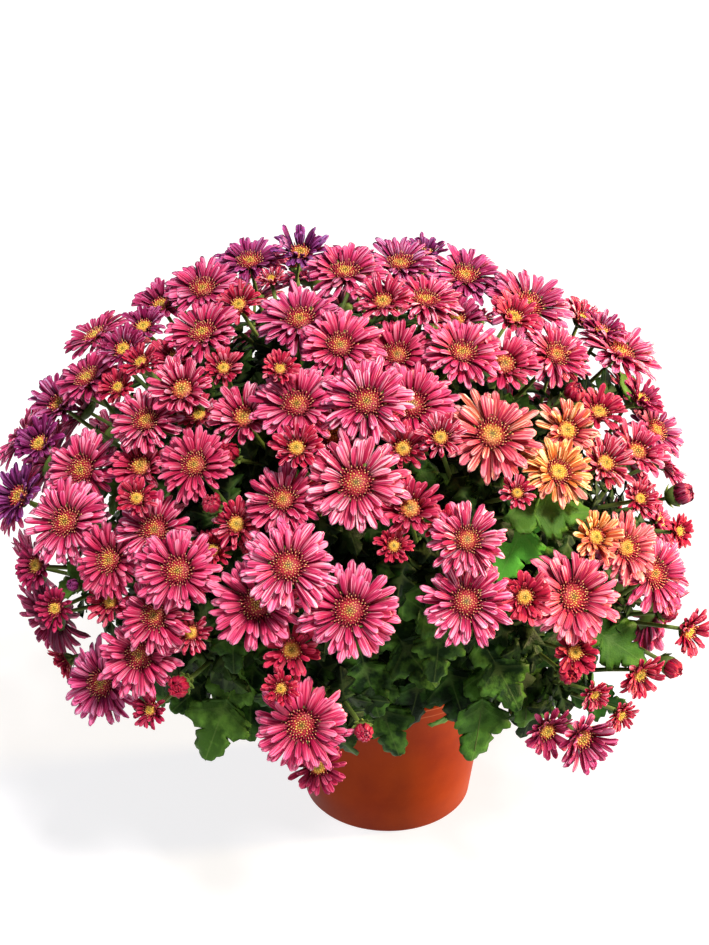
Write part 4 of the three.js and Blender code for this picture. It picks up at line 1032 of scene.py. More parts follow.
# Bracts: count, slope at the root and bend in degrees, length, half width and place of the root
# against the cup's width, how high the root is up the cup, gap to the cup and thickness.
BRACTS = dict(count=9, slope=20, bend=35, long=1.15, half=0.3, root=0.22, up=0.15, proud=0.35,
              thick=0.3, angle_spread=0.1)
BRACT_OUTLINE = ((0, 0.7), (0.5, 1), (1, 0.25))
CUP_GREEN, BRACT_GREENS = 0.6, (0.6, 1)


def add_calyx(bloom, foot, height, frame_at, rng, stalks):
    """The green cup under a head, with a whorl of bracts that lie along it."""
    place, reach = bloom["place"], bloom["reach"]
    bud = reach < BUD_UP_TO
    wide = CALYX["bud_wide" if bud else "wide"] * reach
    top = height + (CALYX["bud_top"] * reach if bud else CALYX["top"])
    x, y, z = (CUP.points * (wide, wide, top - foot)).T
    points = set_out((x, y, z + foot), place, frame_at(0))
    stalks.add(CUP, points, skin=graded(CUP_GREEN, *STEM_GREENS))
    x, y, z = BRACT.points.T
    start, bend = math.radians(BRACTS["slope"]), math.radians(BRACTS["bend"])
    arc_out, arc_up = along_arc(BRACTS["long"] * wide, start, bend, y)
    flat = x * BRACTS["half"] * wide * np.interp(y, *zip(*BRACT_OUTLINE))
    out = arc_out + BRACTS["root"] * wide + BRACTS["proud"]
    up = arc_up + foot + BRACTS["up"] * (height - foot) + BRACTS["thick"] * z
    for k in range(BRACTS["count"]):
        turn = k + rng.normal(0, BRACTS["angle_spread"])
        points = set_out((out, flat, up), place, frame_at(turn * 2 * math.pi / BRACTS["count"]))
        stalks.add(BRACT, points, skin=graded(rng.uniform(*BRACT_GREENS), *STEM_GREENS))


# ---- Stalks and leaves ---------------------------------------------------------------------------
# Where each stalk stands on STEM_GREENS, at its start and end.
GREENS = dict(stem=(0, 0.1), branch=(0, 0.45), pedicel=(0.4, 0.75), leaf_stalk=(0.3, 0.6),
              midrib=(0.5, 0.5))
NEARBY = 1e-3  # the share of a curve that its direction is taken over
# A pedicel's radius at the fork, how far it reaches into the cup, where it bends, how straight it
# meets the head and how far it bows aside, in shares of its length.
PEDICEL_FORM = dict(foot=1.75, into_cup=0.8, bend=0.55, straight=0.12, bow=0.1)


def rod_points(shape, curve, start_radius, end_radius):
    """A rod laid along a curve, square to it all the way."""
    x, y, t = shape.points.T
    chord = unit(curve[2] - curve[0])
    first, _ = square_to(chord)
    ahead = np.minimum(t + NEARBY, 1)[:, None]
    behind = np.maximum(t - NEARBY, 0)[:, None]
    tangent = bend_point(curve, ahead) - bend_point(curve, behind)
    tangent /= np.linalg.norm(tangent, axis=1)[:, None]
    side = first - tangent * (tangent @ first)[:, None]
    side /= np.linalg.norm(side, axis=1)[:, None]
    other = np.cross(tangent, side)
    radius = mix(start_radius, end_radius, t)
    return bend_point(curve, t[:, None]) + side * (x * radius)[:, None] + other * (y * radius)[:, None]


def add_stalk(stalks, shape, curve, start_radius, end_radius, kind):
    """A tapered stalk along a curve, in the greens of its kind."""
    skin = graded(mix(*GREENS[kind], shape.points[:, 2]), *STEM_GREENS)
    stalks.add(shape, rod_points(shape, curve, start_radius, end_radius), skin=skin)


def add_pedicels(spray, stalks):
    """The bowed stalk of each bloom, from the spray's fork into the cup of its head."""
    form = PEDICEL_FORM
    for bloom in spray["members"]:
        start, end = spray["fork"], head_foot(bloom) + bloom["axis"] * form["into_cup"]
        length = math.dist(start, end)
        aside = [draw(bloom["number"], purpose) - 0.5 for purpose in DRAWS["bow"]]
        bow = np.array([*aside, 0]) * form["bow"] * length
        middle = mix(start, end - bloom["axis"] * form["straight"] * length, form["bend"]) + bow
        add_stalk(stalks, THIN_STALK, (start, middle, end), form["foot"], PEDICEL["radius"], "pedicel")


def add_branch(branch, stalks):
    """The branch of one spray, from its plant's crown into the fork."""
    a, b, c = branch["curve"]
    end = c + branch["approach"] * (PEDICEL["hub_drop"] + GAP)
    add_stalk(stalks, STALK, (a, b, end), PLANT["branch"], PLANT["tip"], "branch")


# A leaf's half outline without its teeth, in shares of its length and of its half width: two
# lobes to a side and a lobed tip.
LOBES = (
    (0, 0.06), (0.1, 0.2), (0.17, 0.6), (0.26, 0.8), (0.35, 0.62), (0.4, 0.33), (0.45, 0.56),
    (0.54, 0.92), (0.62, 0.98), (0.69, 0.74), (0.715, 0.42), (0.78, 0.52), (0.88, 0.44),
    (0.96, 0.24), (1, 0),
)
LOBE_CRESTS = (3, 8)  # the points of LOBES that a main side vein runs to
# Teeth to each side, and how far they stand out as a share of the leaf's length.
TEETH, ROWS_TO_A_TOOTH, TOOTH = 12, 4, 0.045


def toothed_outline():
    """The half outline with teeth all along it, and the rows its main veins end on.

    The teeth are longest where the leaf is widest.
    """
    half = LEAF["width"] / 2
    share, wide = np.array(LOBES).T
    arc = np.append(0, np.cumsum(np.hypot(np.diff(share), np.diff(wide * half))))
    arc /= arc[-1]
    rows = np.linspace(0, 1, TEETH * ROWS_TO_A_TOOTH + 1)
    along, out = np.interp(rows, arc, share), np.interp(rows, arc, wide) * half
    ahead, aside = np.gradient(along), np.gradient(out)
    run = np.hypot(ahead, aside)
    point = 1 - np.abs(2 * (TEETH * rows % 1) - 1)
    tooth = TOOTH * point * (0.35 + 0.65 * out / half)
    outline = np.stack([along - tooth * aside / run, (out + tooth * ahead / run) / half], axis=1)
    return outline, [float(arc[k]) for k in LOBE_CRESTS]


LEAF_MARGIN, VEIN_ROWS = toothed_outline()
# The outline of a small leaf inside the mound, with its teeth left out.
SMALL_MARGIN = (
    (0, 0.08), (0.1, 0.34), (0.18, 0.62), (0.27, 0.84), (0.34, 0.62), (0.4, 0.36), (0.5, 0.76),
    (0.6, 1), (0.68, 0.72), (0.72, 0.42), (0.82, 0.52), (0.92, 0.34), (1, 0),
)
BLADE = sheet(6, len(LEAF_MARGIN) - 1)
SMALL_BLADE = sheet(2, len(SMALL_MARGIN) - 1)
BLADE_THICKNESS = 0.5
VEIN_SLANT = 0.22  # how much nearer the base a side vein leaves the midrib
ROW_GAP = 0.002  # the least share of the midrib between two rows of a blade's mesh
# A blade's relief, in shares of its length: how ragged its margin is, how far its margin waves and
# hangs, how deep its veins lie and how far its tip curls.
RELIEF = dict(ragged=0.006, wave=0.045, hang=0.05, vein=0.014, curl=0.03)
WAVES = 9  # how fast the margin waves along a blade, in radians


def blade_points(leaf, rng, shape=BLADE, outline=LEAF_MARGIN):
    """A lobed blade whose margin waves, with its veins sunk and its tip curled."""
    x, y, z = shape.points.T
    share, wide = (np.array(column) for column in zip(*outline))
    rows = np.linspace(0, 1, len(share))
    rib = np.maximum.accumulate(share - VEIN_SLANT * wide) + ROW_GAP * np.arange(len(share))
    rib = np.clip(rib, 0, 1)
    ragged = rng.normal(0, RELIEF["ragged"], len(y)) * (np.abs(x) > 0.9)
    margin = np.interp(y, rows, share) + ragged
    along = mix(np.interp(y, rows, rib), margin, np.abs(x))
    out = x * np.interp(y, rows, wide)
    length = leaf["length"]
    rise = leaf_rise(length, along, np.abs(out))
    wave = RELIEF["wave"] * np.sin(WAVES * y + 2 * np.sign(x) + rng.uniform(0, 6))
    ripple = (wave - RELIEF["hang"]) * x * x
    sunk = np.cos(2 * math.pi * (y - VEIN_ROWS[0]) / (VEIN_ROWS[1] - VEIN_ROWS[0]))
    veins = -RELIEF["vein"] * sunk * np.sin(math.pi * np.abs(x))
    rise += length * (ripple + veins + rng.normal(0, RELIEF["curl"]) * along * along)
    half = LEAF["width"] * length / 2
    rows = (along * length, out * half, rise + BLADE_THICKNESS * z)
    return set_out(rows, leaf["base"], leaf_axes(leaf))


def from_veins(leaf, shape=BLADE, outline=LEAF_MARGIN):
    """How far each point of a blade is from the nearest main vein, in millimetres."""
    x, y, _ = shape.points.T
    wide = np.interp(y, np.linspace(0, 1, len(outline)), [row[1] for row in outline])
    from_midrib = np.abs(x) * wide * LEAF["width"] * leaf["length"] / 2
    from_side_veins = [np.abs(y - row) * leaf["length"] for row in VEIN_ROWS]
    return np.minimum.reduce([from_midrib] + from_side_veins)


# Leaves of the shaded heart: number to a branch, stretch of the branch, lengths, the least length
# and the steps they shrink by, stalk, how near the mound's skin their tips come, how far they stay
# from the pot, and how they lean forwards and outwards and lie level.
INNER = dict(count=21, at=(0.32, 1), length=(28, 50), least=18, shrink=4, stalk=6, depth=0.94,
             clear=8, forward=0.3, outward=0.2, lift=0.4, turn_spread=0.25, edge_on=0.85)


def depth_of(point):
    """0 at the mound's centre, 1 on its skin."""
    off = point - MOUND_CENTRE
    vertical = MOUND_UP if off[2] > 0 else MOUND_DOWN
    return float(np.linalg.norm(off / np.array([MOUND_ACROSS, MOUND_ACROSS, vertical])))


# How dark a leaf's painted shade is, from 1 in deep shade to -1 in full sun: those on pedicels, those of
# the heart, the one of SHOWN_LEAVES that is painted sunlit though blooms shade it, and the others by
# their depth. They are painted lightest on the skin and darker below the sunlit depth.
SHADES = dict(pedicel=0.8, heart=0.9, sun=-0.9, lightest=-0.35)
PAINTED_SUN_LEAF = SHOWN_LEAVES.index((520, 536, 92, 128, 0.92))
SUNLIT, SHADE_DEPTH = 0.82, 0.35
# Leaves on a pedicel: number, stretch of it, lengths, and how far they lean along it.
PEDICEL_LEAVES = dict(count=5, at=(0, 0.62), length=(20, 34), outward=0.35)


def add_small_leaf(leaf, rng, shade, leaves):
    """A leaf whose teeth, midrib and stalk are too small to show."""
    points = blade_points(leaf, rng, SMALL_BLADE, SMALL_MARGIN)
    leaves.add(SMALL_BLADE, points, from_vein=from_veins(leaf, SMALL_BLADE, SMALL_MARGIN),
               **leaf_colours(SMALL_BLADE, rng.uniform(0, 1), shade))


def add_pedicel_leaves(spray, leaves):
    """The small leaves that stand along the stalk of each bloom."""
    for bloom in spray["members"]:
        rng = np.random.default_rng(SEEDS["pedicel_leaves"] + bloom["number"])
        start, end = spray["fork"], head_foot(bloom)
        run = unit(end - start)
        first, second = square_to(run)
        for _ in range(PEDICEL_LEAVES["count"]):
            at, length = rng.uniform(*PEDICEL_LEAVES["at"]), rng.uniform(*PEDICEL_LEAVES["length"])
            angle = rng.uniform(0, 2 * math.pi)
            along = unit(first * math.cos(angle) + second * math.sin(angle)
                         + run * PEDICEL_LEAVES["outward"])
            leaf = dict(base=mix(start, end, at), along=along, up=run, length=length)
            add_small_leaf(leaf, rng, SHADES["pedicel"], leaves)


def add_inner_leaves(branch, leaves):
    """Small leaves all round a branch, shrunk until they stay inside the mound."""
    rng = np.random.default_rng(SEEDS["inner_leaves"] + branch["number"])
    for _ in range(INNER["count"]):
        at = rng.uniform(*INNER["at"])
        start = bend_point(branch["curve"], at)
        tangent, out = bend_tangent(branch["curve"], at), outward_at(start)
        first, second = square_to(tangent)
        angle, length = rng.uniform(0, 2 * math.pi), rng.uniform(*INNER["length"])
        along = unit(first * math.cos(angle) + second * math.sin(angle)
                     + tangent * INNER["forward"] + out * INNER["outward"])
        turned = rng.normal(0, INNER["turn_spread"], 3)
        up = unit(out + np.array([0, 0, INNER["lift"]]) + turned)
        while length > INNER["least"] and depth_of(start + along * length) > INNER["depth"]:
            length -= INNER["shrink"]
        tip = start + along * (length + INNER["stalk"])
        low = tip[2] < POT["height"] + INNER["clear"]
        if length <= INNER["least"] or low or abs(along @ up) > INNER["edge_on"]:
            continue
        leaf = dict(base=start + along * INNER["stalk"], along=along, up=up, length=length)
        add_small_leaf(leaf, rng, SHADES["heart"], leaves)


# The midrib under a leaf: how deep it lies, the share of the leaf it runs along, and its radii.
MIDRIB = dict(sunk=0.8, end=0.9, radius=0.9, tip=0.3)
# A leaf's stalk: how far it runs on under the blade, its bend and its radius at the leaf.
LEAF_STALK = dict(overlap=1.5, bend=0.3, tip=1.1)


def add_leaf(item, branches, leaves, stalks, number):
    """One of the large leaves, with its midrib and the stalk that holds it."""
    rng = np.random.default_rng(SEEDS["leaves"] + number)
    leaf = item["leaf"]
    base, length = leaf["base"], leaf["length"]
    depth = depth_of(base + leaf["along"] * 0.5 * length)
    shade = float(np.clip((SUNLIT - depth) / SHADE_DEPTH, SHADES["lightest"], 1))
    shade = SHADES["sun"] if number == PAINTED_SUN_LEAF else shade
    leaves.add(BLADE, blade_points(leaf, rng), from_vein=from_veins(leaf),
               **leaf_colours(BLADE, rng.uniform(0, 1), shade))
    way, _, normal = leaf_axes(leaf)

    def under(share):
        """A place on the back of the blade, where the midrib lies."""
        return base + way * share * length + normal * (leaf_rise(length, share, 0) - MIDRIB["sunk"])

    root, tip = under(0), under(MIDRIB["end"])
    middle = under(MIDRIB["end"] / 2) * 2 - (root + tip) / 2
    add_stalk(stalks, RIB, (root, middle, tip), MIDRIB["radius"], MIDRIB["tip"], "midrib")
    start = bend_point(branches[item["branch"]]["curve"], item["at"])
    bend = base - way * LEAF_STALK["bend"] * math.dist(start, base)
    end = base + way * LEAF_STALK["overlap"]
    add_stalk(stalks, THIN_STALK, (start, bend, end), LEAF["stalk"], LEAF_STALK["tip"], "leaf_stalk")


# ---- Materials -----------------------------------------------------------------------------------
def add(tree, kind, inputs=None, out=0, **settings):
    """Adds a node with its settings, its inputs as values or links, and gives one of its outputs."""
    made = tree.nodes.new("ShaderNode" + kind)
    for key, value in settings.items():
        setattr(made, key, value)
    for key, value in (inputs or {}).items():
        if isinstance(value, bpy.types.NodeSocket):
            tree.links.new(value, made.inputs[key])
        else:
            made.inputs[key].default_value = value
    return made.outputs[out]


def new_material(name, colour, **surface):
    """A material with a shader of these values, and the shader's node tree."""
    material = bpy.data.materials.new(name)
    material.use_nodes = True
    material.diffuse_color = linear(colour)
    shader = material.node_tree.nodes["Principled BSDF"]
    shader.inputs["Base Color"].default_value = linear(colour)
    for key, value in surface.items():
        shader.inputs[key.replace("_", " ")].default_value = value
    return material, material.node_tree, shader


# Outputs of nodes that have more than one.
BLENDED = dict(out=2, data_type="RGBA")
PLACE, VECTOR = dict(out="Object"), dict(out="Vector")


def per_metre(size):
    """The noise scale that draws features of this size in millimetres."""
    return 1 / (size * MM)


# Ray florets: living petal skin, thin and a little velvety, with lengthwise streaks that are partly its
# own and partly painted highlight and shade on its folds. Crimson at the claw, where some of the dark is
# painted shade, pink on the blade, mauve beneath.
def petal_skin():
    material, tree, shader = new_material(
        "ray_floret_skin", "#D64468", Roughness=0.55, IOR=1.4, Specular_IOR_Level=0.18,
        Subsurface_Weight=0.1, Subsurface_Radius=(1.0, 0.2, 0.3), Subsurface_Scale=1.2 * MM)
    skin, pale, dark, gleam = (add(tree, "Attribute", attribute_name=name)
                               for name in ("skin", "pale", "dark", "gleam"))
    spot = add(tree, "Attribute", attribute_name="spot", **VECTOR)
    streak = add(tree, "TexNoise", {"Vector": spot, "Scale": 1.0, "Detail": 2.0, "Roughness": 0.6})
    lit = add(tree, "MapRange", {0: streak, 1: 0.52, 2: 0.58, 4: gleam})
    shade = add(tree, "MapRange", {0: streak, 1: 0.48, 2: 0.41, 4: 0.8})
    colour = add(tree, "Mix", {0: lit, 6: skin, 7: pale}, **BLENDED)
    colour = add(tree, "Mix", {0: shade, 6: colour, 7: dark}, **BLENDED)
    tree.links.new(colour, shader.inputs["Base Color"])
    relief = add(tree, "Bump", {"Height": streak, "Strength": 0.6, "Distance": 0.5 * MM})
    tree.links.new(relief, shader.inputs["Normal"])
    return material


# Disc florets: waxy tubes with yellow tips, yellow all over where they are shut and crimson-sided
# where they have opened, round a dull green middle.
def disc_skin():
    material, tree, shader = new_material("disc_floret_wax", "#B8502C", Roughness=0.5, IOR=1.42,
                                          Specular_IOR_Level=0.3)
    side, top, tip = (add(tree, "Attribute", attribute_name=name) for name in ("side", "top", "tip"))
    tipped = add(tree, "MapRange", {0: tip, 1: 0.7, 2: 0.95})
    colour = add(tree, "Mix", {0: tipped, 6: side, 7: top}, **BLENDED)
    # Pollen is about 0.03 mm across, too fine to show: drawn in 0.5 mm specks.
    place = add(tree, "TexCoord", **PLACE)
    pollen = add(tree, "TexNoise", {"Vector": place, "Scale": per_metre(0.5), "Detail": 1.0})
    dusted = add(tree, "MapRange", {0: pollen, 1: 0.55, 2: 0.7, 4: 0.16})
    colour = add(tree, "Mix", {0: dusted, 6: colour, 7: linear("#F4D068")}, **BLENDED)
    tree.links.new(colour, shader.inputs["Base Color"])
    return material


# Stems and calyces: soft green skin with fine ribs, brown where old and paler near the heads.
def stem_skin():
    material, tree, shader = new_material("stem_skin", "#4E6B30", Roughness=0.55, IOR=1.4,
                                          Specular_IOR_Level=0.25)
    skin = add(tree, "Attribute", attribute_name="skin")
    place = add(tree, "TexCoord", **PLACE)
    # Ruddy patches of 3 mm, as on a real stem. Their finest detail stands for the hairs.
    mottle = add(tree, "TexNoise", {"Vector": place, "Scale": per_metre(3), "Detail": 3.0})
    ruddy = add(tree, "MapRange", {0: mottle, 1: 0.4, 2: 0.9, 4: 0.4})
    colour = add(tree, "Mix", {0: ruddy, 6: skin, 7: linear("#5A2E2A")}, **BLENDED)
    tree.links.new(colour, shader.inputs["Base Color"])
    relief = add(tree, "Bump", {"Height": mottle, "Strength": 0.4, "Distance": 0.3 * MM})
    tree.links.new(relief, shader.inputs["Normal"])
    return material


# Leaves: matt cuticle over a downy blade, deep green with lighter patches, paler veins 0.7 mm wide
# and a grey-green back.
def leaf_skin():
    material, tree, shader = new_material(
        "leaf_cuticle", "#234016", Roughness=0.5, IOR=1.4, Specular_IOR_Level=0.13)
    # The skin and lit attributes carry each leaf's painted shade and painted sunlight.
    skin, lit, from_vein = (add(tree, "Attribute", attribute_name=name)
                            for name in ("skin", "lit", "from_vein"))
    place = add(tree, "TexCoord", **PLACE)
    # Blotches of 11 mm, the width of a lobe. The down's hairs lie 0.1 mm apart, too fine to show:
    # drawn 1.2 mm apart.
    blotch = add(tree, "TexNoise", {"Vector": place, "Scale": per_metre(11), "Detail": 5.0})
    down = add(tree, "TexNoise", {"Vector": place, "Scale": per_metre(1.2), "Detail": 2.0})
    patch = add(tree, "MapRange", {0: blotch, 1: 0.46, 2: 0.68})
    colour = add(tree, "Mix", {0: patch, 6: skin, 7: lit}, **BLENDED)
    vein = add(tree, "MapRange", {0: from_vein, 1: 0.1, 2: 0.7, 3: 0.13, 4: 0.0})
    colour = add(tree, "Mix", {0: vein, 6: colour, 7: linear("#8CA85C")}, **BLENDED)
    tree.links.new(colour, shader.inputs["Base Color"])
    rough = add(tree, "Math", {0: down, 1: 0.4, 2: blotch}, operation="MULTIPLY_ADD")
    height = add(tree, "Math", {0: rough, 1: vein}, operation="SUBTRACT")
    relief = add(tree, "Bump", {"Height": height, "Strength": 0.8, "Distance": 1.2 * MM})
    tree.links.new(relief, shader.inputs["Normal"])
    return material


# The pot: injection-moulded polypropylene in a fired-clay colour, satin, with dust that dulls it in
# patches.
def pot_plastic():
    material, tree, shader = new_material("moulded_polypropylene", "#8A2A02", Roughness=0.5,
                                          IOR=1.49, Specular_IOR_Level=0.05)
    place = add(tree, "TexCoord", **PLACE)
    # Worn patches of 40 mm, a hand's grip. Dust is about 0.1 mm, too fine to show: drawn as 1.4 mm.
    patch = add(tree, "TexNoise", {"Vector": place, "Scale": per_metre(40), "Detail": 4.0})
    speck = add(tree, "TexNoise", {"Vector": place, "Scale": per_metre(1.4), "Detail": 2.0})
    worn = add(tree, "MapRange", {0: patch, 1: 0.3, 2: 0.7})
    colour = add(tree, "Mix", {0: worn, 6: linear("#782202"), 7: linear("#923404")}, **BLENDED)
    dust = add(tree, "MapRange", {0: speck, 1: 0.6, 2: 0.85, 4: 0.08})
    colour = add(tree, "Mix", {0: dust, 6: colour, 7: linear("#C87444")}, **BLENDED)
    # The two moulded steps are paler along their edges, in bands 0.7 mm wide.
    height = add(tree, "SeparateXYZ", {0: place}, out="Z")
    for edge in (BAND_FOOT, LIP_FOOT):
        off = add(tree, "Math", {0: height, 1: edge * MM}, operation="SUBTRACT")
        off = add(tree, "Math", {0: off}, operation="ABSOLUTE")
        pale_edge = add(tree, "MapRange", {0: off, 1: 0.0, 2: 0.7 * MM, 3: 0.5, 4: 0.0})
        colour = add(tree, "Mix", {0: pale_edge, 6: colour, 7: linear("#D08058")}, **BLENDED)
    tree.links.new(colour, shader.inputs["Base Color"])
    rough = add(tree, "MapRange", {0: patch, 3: 0.38, 4: 0.54})
    tree.links.new(rough, shader.inputs["Roughness"])
    relief = add(tree, "Bump", {"Height": speck, "Strength": 0.12, "Distance": 0.2 * MM})
    tree.links.new(relief, shader.inputs["Normal"])
    return material


# Potting mix: damp peat with bark and perlite, dark and dull with pale crumbs.
def potting_mix():
    material, tree, shader = new_material("potting_mix", "#2A1C14", Roughness=0.95)
    place = add(tree, "TexCoord", **PLACE)
    # Clods of 5.5 mm, the sieve size of a potting mix.
    clod = add(tree, "TexNoise", {"Vector": place, "Scale": per_metre(5.5), "Detail": 5.0})
    pale = add(tree, "MapRange", {0: clod, 1: 0.35, 2: 0.75})
    colour = add(tree, "Mix", {0: pale, 6: linear("#150D09"), 7: linear("#5A4432")}, **BLENDED)
    tree.links.new(colour, shader.inputs["Base Color"])
    relief = add(tree, "Bump", {"Height": clod, "Strength": 0.9, "Distance": 2 * MM})
    tree.links.new(relief, shader.inputs["Normal"])
    return material


# ---- Pot and soil --------------------------------------------------------------------------------
def body_radius(z):
    """The pot's outside radius at a height, below its moulded steps."""
    top = POT["rim"] - 2 * POT["step"]
    return POT["base"] + (top - POT["base"]) * z / LIP_FOOT


def inside_radius(z):
    """The pot's inside radius at a height."""
    low = body_radius(POT["floor"]) - POT["wall"]
    share = (z - POT["floor"]) / (POT["height"] - POT["floor"])
    return mix(low, POT["rim"] - POT["wall"], share)


POT_STEPS, BIT_SIDES, BIT_LENGTH = 96, 24, 12
SHARP_FROM = math.radians(50)
# The rounded foot, how far in from the side and how far up. Then the rim's rounding in from each
# side and down, where its straight sides end, and the rounding where the inside meets the floor.
FOOT_ROUND = ((3, 0), (1.2, 0.5), (0, 2))
RIM_IN, RIM_DOWN, RIM_SHOULDER, INSIDE_SHOULDER, FLOOR_ROUND = 0.4, 0.2, 0.9, 1.2, 1
HALF_RISE, LIP_TAPER = 0.3, 0.1  # of a moulded step
SIDE_RINGS = (30, 60)  # the heights where the plain side has a ring


def pot_outline():
    """The pot's section: up its side, over its rim and down its inside to the floor."""
    rim, wall, height, step = POT["rim"], POT["wall"], POT["height"], POT["step"]
    floor, band = POT["floor"], body_radius(BAND_FOOT)
    return [
        (0, 0), *((POT["base"] - back, up) for back, up in FOOT_ROUND),
        *((body_radius(ring), ring) for ring in SIDE_RINGS),
        (band, BAND_FOOT - HALF_RISE), (band + step, BAND_FOOT + HALF_RISE),
        (rim - step, LIP_FOOT - HALF_RISE), (rim - LIP_TAPER, LIP_FOOT + HALF_RISE),
        (rim, LIP_FOOT + RIM_SHOULDER), (rim, height - RIM_SHOULDER),
        (rim - RIM_IN, height - RIM_DOWN), (rim - wall / 2, height),
        (rim - wall + RIM_IN, height - RIM_DOWN),
        *((inside_radius(z), z) for z in (height - INSIDE_SHOULDER, SIDE_RINGS[-1], floor + FLOOR_ROUND)),
        (inside_radius(floor) - FLOOR_ROUND, floor), (0, floor),
    ]


def drill_bits():
    """The round bits that drill the drain holes, in a ring."""
    bits = bmesh.new()
    for i in range(DRAIN["count"]):
        angle = (i + 0.5) * 2 * math.pi / DRAIN["count"]
        bit = bmesh.ops.create_cone(bits, cap_ends=True, segments=BIT_SIDES, depth=BIT_LENGTH,
                                    radius1=DRAIN["radius"], radius2=DRAIN["radius"])["verts"]
        spot = (DRAIN["circle"] * math.cos(angle), DRAIN["circle"] * math.sin(angle), 0)
        bmesh.ops.translate(bits, verts=bit, vec=spot)
    return bits


def make_pot(material):
    """The moulded shell, with its drain holes drilled."""
    pot = new_piece("pot_shell", mesh_of(spun(pot_outline(), POT_STEPS), "pot_shell"), material)
    cutter = new_piece("drills", mesh_of(drill_bits(), "drills"), material)
    cut = pot.modifiers.new("drain_holes", "BOOLEAN")
    cut.operation, cut.object, cut.solver = "DIFFERENCE", cutter, "EXACT"
    shaped = pot.evaluated_get(bpy.context.evaluated_depsgraph_get())
    pot.data = bpy.data.meshes.new_from_object(shaped)
    pot.data.name = "pot_shell"
    pot.modifiers.clear()
    bpy.data.meshes.remove(cutter.data)
    pot.data.shade_smooth()
    pot.data.set_sharp_from_angle(angle=SHARP_FROM)
    return pot


SOIL_RINGS, SOIL_STEPS, SOIL_CLEAR = 14, 64, 1.5 * GAP
# The bumps on the soil: how high, and how many to a millimetre.
SOIL_BUMPS = ((1.6, 0.11), (0.8, 0.4))
# Crumbs: number, how near the wall they lie, size, and how flat they are in two directions.
CRUMBS = dict(count=320, spread=0.94, size=(0.5, 2.2), wide=(0.5, 1), flat=(0.4, 0.8))


def make_soil(material):
    """A bumpy bed that is raised in the middle, strewn with crumbs."""
    top, foot = SOIL["top"], POT["floor"] + GAP
    wide = inside_radius(top) - SOIL_CLEAR
    profile = [(0, foot), (inside_radius(foot) - SOIL_CLEAR, foot), (wide, top)]
    profile += [(wide * (1 - k / SOIL_RINGS), top + SOIL["crown"] * k / SOIL_RINGS)
                for k in range(1, SOIL_RINGS + 1)]
    bm = spun(profile, SOIL_STEPS)
    for vert in bm.verts:
        # Only what is raised above the bed's edge is bumpy.
        if vert.co.z > top + 0.1:
            vert.co.z += sum(high * noise.noise(vert.co * pitch) for high, pitch in SOIL_BUMPS)
    body = Gathering()
    shape = Shape(bm)
    body.add(shape, shape.points)
    rng = np.random.default_rng(SEEDS["soil"])
    for _ in range(CRUMBS["count"]):
        away = CRUMBS["spread"] * wide * math.sqrt(rng.random())
        angle = rng.uniform(0, 2 * math.pi)
        size = rng.uniform(*CRUMBS["size"])
        size = size * np.array([1, rng.uniform(*CRUMBS["wide"]), rng.uniform(*CRUMBS["flat"])])
        middle = np.array([away * math.cos(angle), away * math.sin(angle),
                           top + SOIL["crown"] * (1 - away / wide)])
        turn = np.array(Euler(rng.uniform(0, 6, 3)).to_matrix())
        body.add(CRUMB, middle + (CRUMB.points * size) @ turn)
    return body.piece("soil_bed", material)


# ---- Assembly ------------------------------------------------------------------------------------
face = face_blooms()
sprays = in_sprays(settled(face + rear_blooms(face)))
branches = branches_of(sprays)
leaf_items = leaves_of(sprays, branches)

pot = make_pot(pot_plastic())
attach(pot, "root")
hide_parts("pot")
soil = make_soil(potting_mix())
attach(soil, "root")
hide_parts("soil")

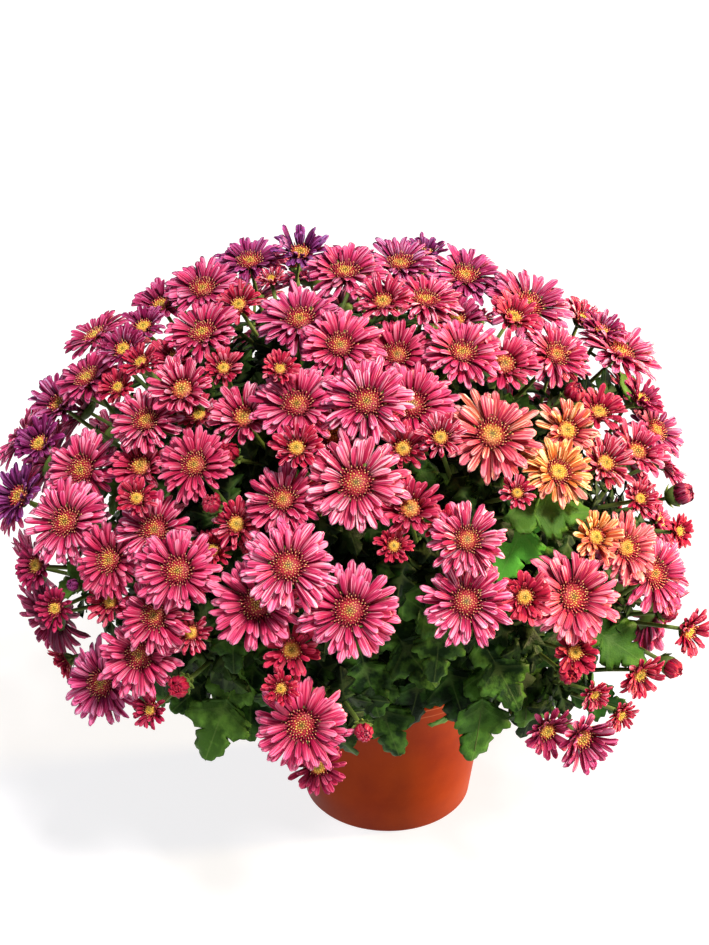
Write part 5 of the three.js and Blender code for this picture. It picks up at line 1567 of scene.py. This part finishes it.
SKINS = dict(petals=petal_skin(), discs=disc_skin(), stalks=stem_skin(), leaves=leaf_skin())
for plant in range(PLANT_COUNT):
    made = {kind: Gathering() for kind in SKINS}
    foot, crown = plant_foot(plant), plant_crown(plant) + np.array([0, 0, PLANT["crown_rise"]])
    add_stalk(made["stalks"], STALK, (foot, mix(foot, crown, 0.5), crown), PLANT["stem"],
              PLANT["crown"], "stem")
    own = [branch for branch in branches if branch["plant"] == plant]
    for branch in own:
        add_branch(branch, made["stalks"])
        add_inner_leaves(branch, made["leaves"])
        spray = sprays[branch["number"]]
        add_pedicels(spray, made["stalks"])
        add_pedicel_leaves(spray, made["leaves"])
        for bloom in spray["members"]:
            add_head(bloom, made["petals"], made["discs"], made["stalks"])
    for number, item in enumerate(leaf_items):
        if branches[item["branch"]]["plant"] == plant:
            add_leaf(item, branches, made["leaves"], made["stalks"], number)
    heads = [f"spray_{branch['number'] + 1:02d}" for branch in own]
    green = f"leafy_stems_{plant + 1:02d}"
    stands_for = dict(petals=heads, discs=heads, stalks=[green] + heads, leaves=[green])
    for kind, gathering in made.items():
        piece = gathering.piece(f"{kind}_{plant + 1}", SKINS[kind])
        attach(piece, "root")
        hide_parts(*stands_for[kind])

# ---- Floor and light -----------------------------------------------------------------------------
FLOOR_REACH = 12  # metres from its middle to its edge
floor_sheet = bmesh.new()
bmesh.ops.create_grid(floor_sheet, x_segments=1, y_segments=1, size=FLOOR_REACH)
# Opal acrylic, lit from beneath, so that shadows on it stay faint.
opal, _, _ = new_material("opal_acrylic", "#929294", Roughness=0.7, Emission_Strength=0.82,
                          Emission_Color=(1, 1, 1, 1))
new_piece("floor", mesh_of(floor_sheet, "floor", scale=1), opal)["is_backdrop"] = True

world = bpy.data.worlds.new("studio")
bpy.context.scene.world = world
world.use_nodes = True
backdrop = world.node_tree.nodes["Background"]
backdrop.inputs["Color"].default_value = linear("#E8E8FF")
backdrop.inputs["Strength"].default_value = 0.18


def add_sun(name, azimuth, height, spread, strength, colour):
    """A distant light: its azimuth runs right from the viewer's side, in degrees."""
    lamp = bpy.data.lights.new(name, "SUN")
    lamp.energy, lamp.angle, lamp.color = strength, math.radians(spread), linear(colour)[:3]
    sun = bpy.data.objects.new(name, lamp)
    bpy.context.collection.objects.link(sun)
    turn, lift = math.radians(azimuth), math.radians(height)
    level = math.cos(lift)
    toward = Vector((math.sin(turn) * level, -math.cos(turn) * level, math.sin(lift)))
    sun.location = toward * 2
    sun.rotation_euler = toward.to_track_quat("Z", "Y").to_euler()


add_sun("key", 32, 58, 12, 4.5, "#FFF9F6")
add_sun("side", 98, 8, 10, 8.0, "#FFE4A8")
add_sun("fill", -50, 30, 25, 0.2, "#C8C4FF")
bpy.context.scene.view_settings.view_transform = "Standard"

lows_highs = [[list(corner) for corner in box] for box in (cad_box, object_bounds())]
dict(cad=lows_highs[0], visual=lows_highs[1])
